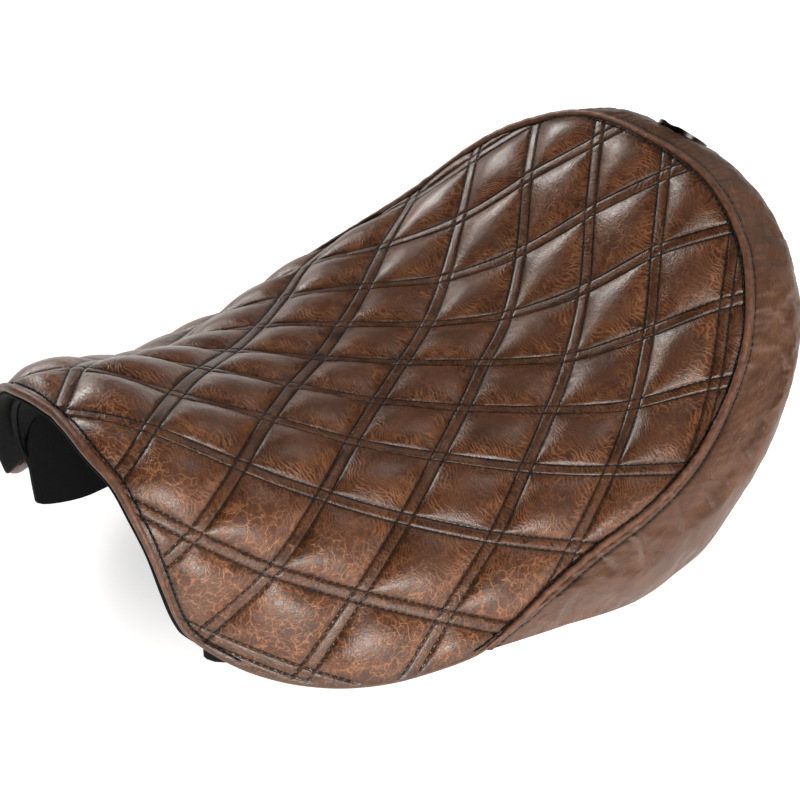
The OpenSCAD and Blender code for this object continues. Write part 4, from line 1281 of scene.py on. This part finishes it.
# name, dark and light tone, noise scale, ratio of the finer noise, roughness range,
# bump (strength, depth in m), other shader inputs
SOLIDS = [
    ('pan_plastic', '#0c0c0c', '#121212', 0.5, 3.0, (0.75, 0.9), (0.35, 0.00025),
     dict(Specular_IOR_Level=0.12)),
    ('trim_rubber', '#0a0a0a', '#121111', 0.6, 4.0, (0.7, 0.85), (0.3, 0.0002),
     dict(Specular_IOR_Level=0.15)),
    ('rubber', '#121212', '#1d1d1c', 0.4, 4.0, (0.62, 0.8), (0.35, 0.0002), {}),
    ('zinc_steel', '#9c9a92', '#bdbab0', 0.12, 9.0, (0.28, 0.46), (0.12, 0.0001),
     dict(Metallic=1.0)),
    ('rivet_alloy', '#a8a9aa', '#c9cacb', 0.3, 4.0, (0.25, 0.42), (0.15, 0.0001),
     dict(Metallic=1.0)),
    ('screw_steel', '#777a7d', '#a5a8ab', 0.3, 4.0, (0.22, 0.38), (0.1, 0.0001),
     dict(Metallic=1.0)),
    ('nylon', '#d9d6c8', '#eceade', 0.2, 4.0, (0.4, 0.5), (0.1, 0.0001),
     dict(Subsurface_Weight=0.1)),
    ('gloss_black', '#030303', '#070707', 0.2, 4.0, (0.2, 0.3), (0.04, 0.0001),
     dict(Specular_IOR_Level=0.3)),
    # painted shade: the dark seam cords stand in for the shadow line in the edge seam
    ('seam', '#120a07', '#1c110b', 0.8, 4.0, (0.7, 0.85), (0.3, 0.0002),
     dict(Specular_IOR_Level=0.15)),
    ('gel', '#1e7f86', '#39a0a6', 0.05, 4.0, (0.2, 0.3), (0.1, 0.0002),
     dict(Subsurface_Weight=0.3)),
    ('backing', '#3a3a3c', '#57585a', 0.5, 4.0, (0.85, 0.95), (0.5, 0.0004), {}),
]
for *values, inputs in SOLIDS:
    solid(*values, **inputs)


def foam_material():
    g = Graph('foam')
    at = g.place()
    cells = g.cells(at, scale=0.9, feature='F1')
    tone = g.ramp(g.noise(at, scale=0.05, detail=3), [(0.3, '#cdbf86'), (0.7, '#ddd2a0')])
    g.finish(Base_Color=g.mix(g.remap(cells, span=(0.2, 0.7)), '#8d8352', tone),
             Roughness=0.92, Normal=g.bump(cells, strength=0.8, depth=0.0006))


def felt_material():
    g = Graph('felt')
    at = g.place()
    # fibres that lie both ways
    fibres = g.max(*[g.noise(g.vector('MULTIPLY', at, stretch), scale=1.0, detail=4, rough=0.7,
                             distortion=1.5)
                     for stretch in ((0.5, 3.2, 1.5), (3.0, 0.6, 1.5))])
    colour = g.ramp(fibres, [(0.4, '#2c2f34'), (0.62, '#4a4e55'), (0.75, '#6d7177')])
    g.finish(Base_Color=colour, Roughness=0.95, Sheen_Weight=0.4,
             Normal=g.bump(fibres, strength=0.9, depth=0.0008))


def thread_material():
    g = Graph('thread')
    twist = g.node('TexWave', {'Vector': g.place(), 'Scale': 0.9, 'Distortion': 1.0}, 1)
    g.finish(Base_Color=g.mix(twist, '#060505', '#16120f'), Roughness=0.62,
             Normal=g.bump(twist, strength=0.4, depth=0.0002))


foam_material()
felt_material()
thread_material()

# ---------------------------------------------------------------- who wears what
MADE_PIECES = [
    (panel, 'leather_quilted'), (panel_hem, 'leather_plain'), (band, 'leather_plain'),
    (band_hem, 'leather_plain'), (cup_edge, 'leather_edge'), (welt, 'leather_edge'),
    (piping, 'leather_edge'), (panel_thread, 'thread'), (band_thread, 'thread'),
    (felt, 'felt'), (foam, 'foam'), (gel, 'gel'), (flange, 'trim_rubber'),
    *[(cord, 'seam') for cord in seam_shadow_cords]]
CAD_PIECES = {
    'base_pan': 'pan_plastic', 'foam_core': 'foam', 'gel_insert': 'gel',
    'quilt_backing': 'backing', 'top_panel': 'leather_plain', 'side_band': 'leather_plain',
    'welt_cord': 'leather_edge', 'nose_binding': 'leather_edge',
    'nose_edge_trim': 'trim_rubber', 'underside_felt': 'felt', 'front_tongue': 'zinc_steel',
    'tongue_rivets': 'rivet_alloy', 'rear_bracket': 'zinc_steel',
    'bracket_rivets': 'rivet_alloy', 'screw_cup': 'gloss_black',
    'captive_screw': 'screw_steel', 'captive_washer': 'nylon', 'front_bumpers': 'rubber',
    'rear_bumpers': 'rubber', 'bumper_screws': 'screw_steel', 'cover_rivets': 'rivet_alloy'}

for ob, material in MADE_PIECES:
    ob.data.materials.clear()
    ob.data.materials.append(MATERIALS[material])
for node, material in CAD_PIECES.items():
    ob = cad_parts[node]
    if len(ob.material_slots) == 0:
        ob.data.materials.append(MATERIALS[material])
    for slot in ob.material_slots:
        slot.link = 'OBJECT'
        slot.material = MATERIALS[material]


# ---------------------------------------------------------------- floor and world, metres
def build_floor(reach=6.0, clearance=0.004):
    """a pale glowing floor just below the seat, clear when seen from below"""
    z = float(CAD_BOX[0][2]) - clearance
    mesh = bpy.data.meshes.new("floor")
    corners = [(-reach, -reach, z), (reach, -reach, z), (reach, reach, z), (-reach, reach, z)]
    mesh.from_pydata(corners, [], [(0, 1, 2, 3)])
    floor = bpy.data.objects.new("floor", mesh)
    bpy.context.scene.collection.objects.link(floor)
    g = Graph('floor')
    tone = g.ramp(g.noise(g.place(1.0), scale=3.0, detail=3),
                  [(0.3, '#f4f4f4'), (0.7, '#f7f7f7')])
    g.finish(Base_Color=tone, Roughness=0.95, Specular_IOR_Level=0.1,
             Alpha=g.sub(1.0, g.node('NewGeometry', {}, 'Backfacing')),
             Emission_Color='#ffffff', Emission_Strength=0.66)
    mesh.materials.append(g.material)


def build_world():
    """a faint cool fill for the scene, and a plain pale backdrop for the camera"""
    world = bpy.data.worlds.new("w")
    bpy.context.scene.world = world
    world.use_nodes = True
    nodes, links = world.node_tree.nodes, world.node_tree.links
    fill = nodes.get("Background")
    fill.inputs[0].default_value = (0.95, 0.97, 1.0, 1)
    fill.inputs[1].default_value = 0.05
    backdrop = nodes.new('ShaderNodeBackground')
    backdrop.inputs[0].default_value = (0.96, 0.96, 0.96, 1)
    backdrop.inputs[1].default_value = 1.0
    path = nodes.new('ShaderNodeLightPath')
    mix = nodes.new('ShaderNodeMixShader')
    links.new(path.outputs['Is Camera Ray'], mix.inputs[0])
    links.new(fill.outputs[0], mix.inputs[1])
    links.new(backdrop.outputs[0], mix.inputs[2])
    links.new(mix.outputs[0], nodes.get("World Output").inputs[0])


build_floor()
build_world()

# ---------------------------------------------------------------- lights and camera, metres
seat_middle = (Vector(CAD_BOX[0]) + Vector(CAD_BOX[1])) / 2


def direction(azimuth, elevation):
    """unit vector from the seat; azimuth in degrees from the nose (-Y) towards +X"""
    a, e = math.radians(azimuth), math.radians(elevation)
    return Vector((math.sin(a) * math.cos(e), -math.cos(a) * math.cos(e), math.sin(e)))


def soft_box(name, azimuth, elevation, distance, width, height, power, colour=(1, 1, 1)):
    """area light aimed at the middle of the seat"""
    place = seat_middle + distance * direction(azimuth, elevation)
    light = bpy.data.lights.new(name, 'AREA')
    light.energy = power
    light.shape = 'RECTANGLE'
    light.size = width
    light.size_y = height
    light.color = colour
    ob = bpy.data.objects.new(name, light)
    bpy.context.scene.collection.objects.link(ob)
    ob.location = place
    ob.rotation_euler = (place - seat_middle).to_track_quat('Z', 'Y').to_euler()


soft_box("key", azimuth=76, elevation=23, distance=1.6, width=0.75, height=0.5, power=26,
         colour=(1, 0.955, 0.90))
soft_box("left", azimuth=264, elevation=30, distance=1.6, width=0.7, height=0.45, power=17,
         colour=(1, 0.96, 0.91))
soft_box("back", azimuth=180, elevation=35, distance=1.9, width=0.8, height=0.5, power=2.5)
bpy.context.scene.view_settings.view_transform = 'Standard'


def build_camera(azimuth, elevation, place, lens):
    data = bpy.data.cameras.new("cam")
    camera = bpy.data.objects.new("cam", data)
    bpy.context.scene.collection.objects.link(camera)
    turn = math.radians(azimuth)
    right = Vector((math.cos(turn), math.sin(turn), 0))
    back = direction(azimuth, elevation)
    columns = Matrix((right, back.cross(right), back)).transposed()
    camera.matrix_world = Matrix.Translation(place) @ columns.to_4x4()
    data.sensor_width = 36.0
    data.lens = lens
    data.clip_start = 0.01
    bpy.context.scene.camera = camera


build_camera(azimuth=48.246, elevation=39.221, place=(0.60447, -0.77483, 0.63998), lens=80.055)
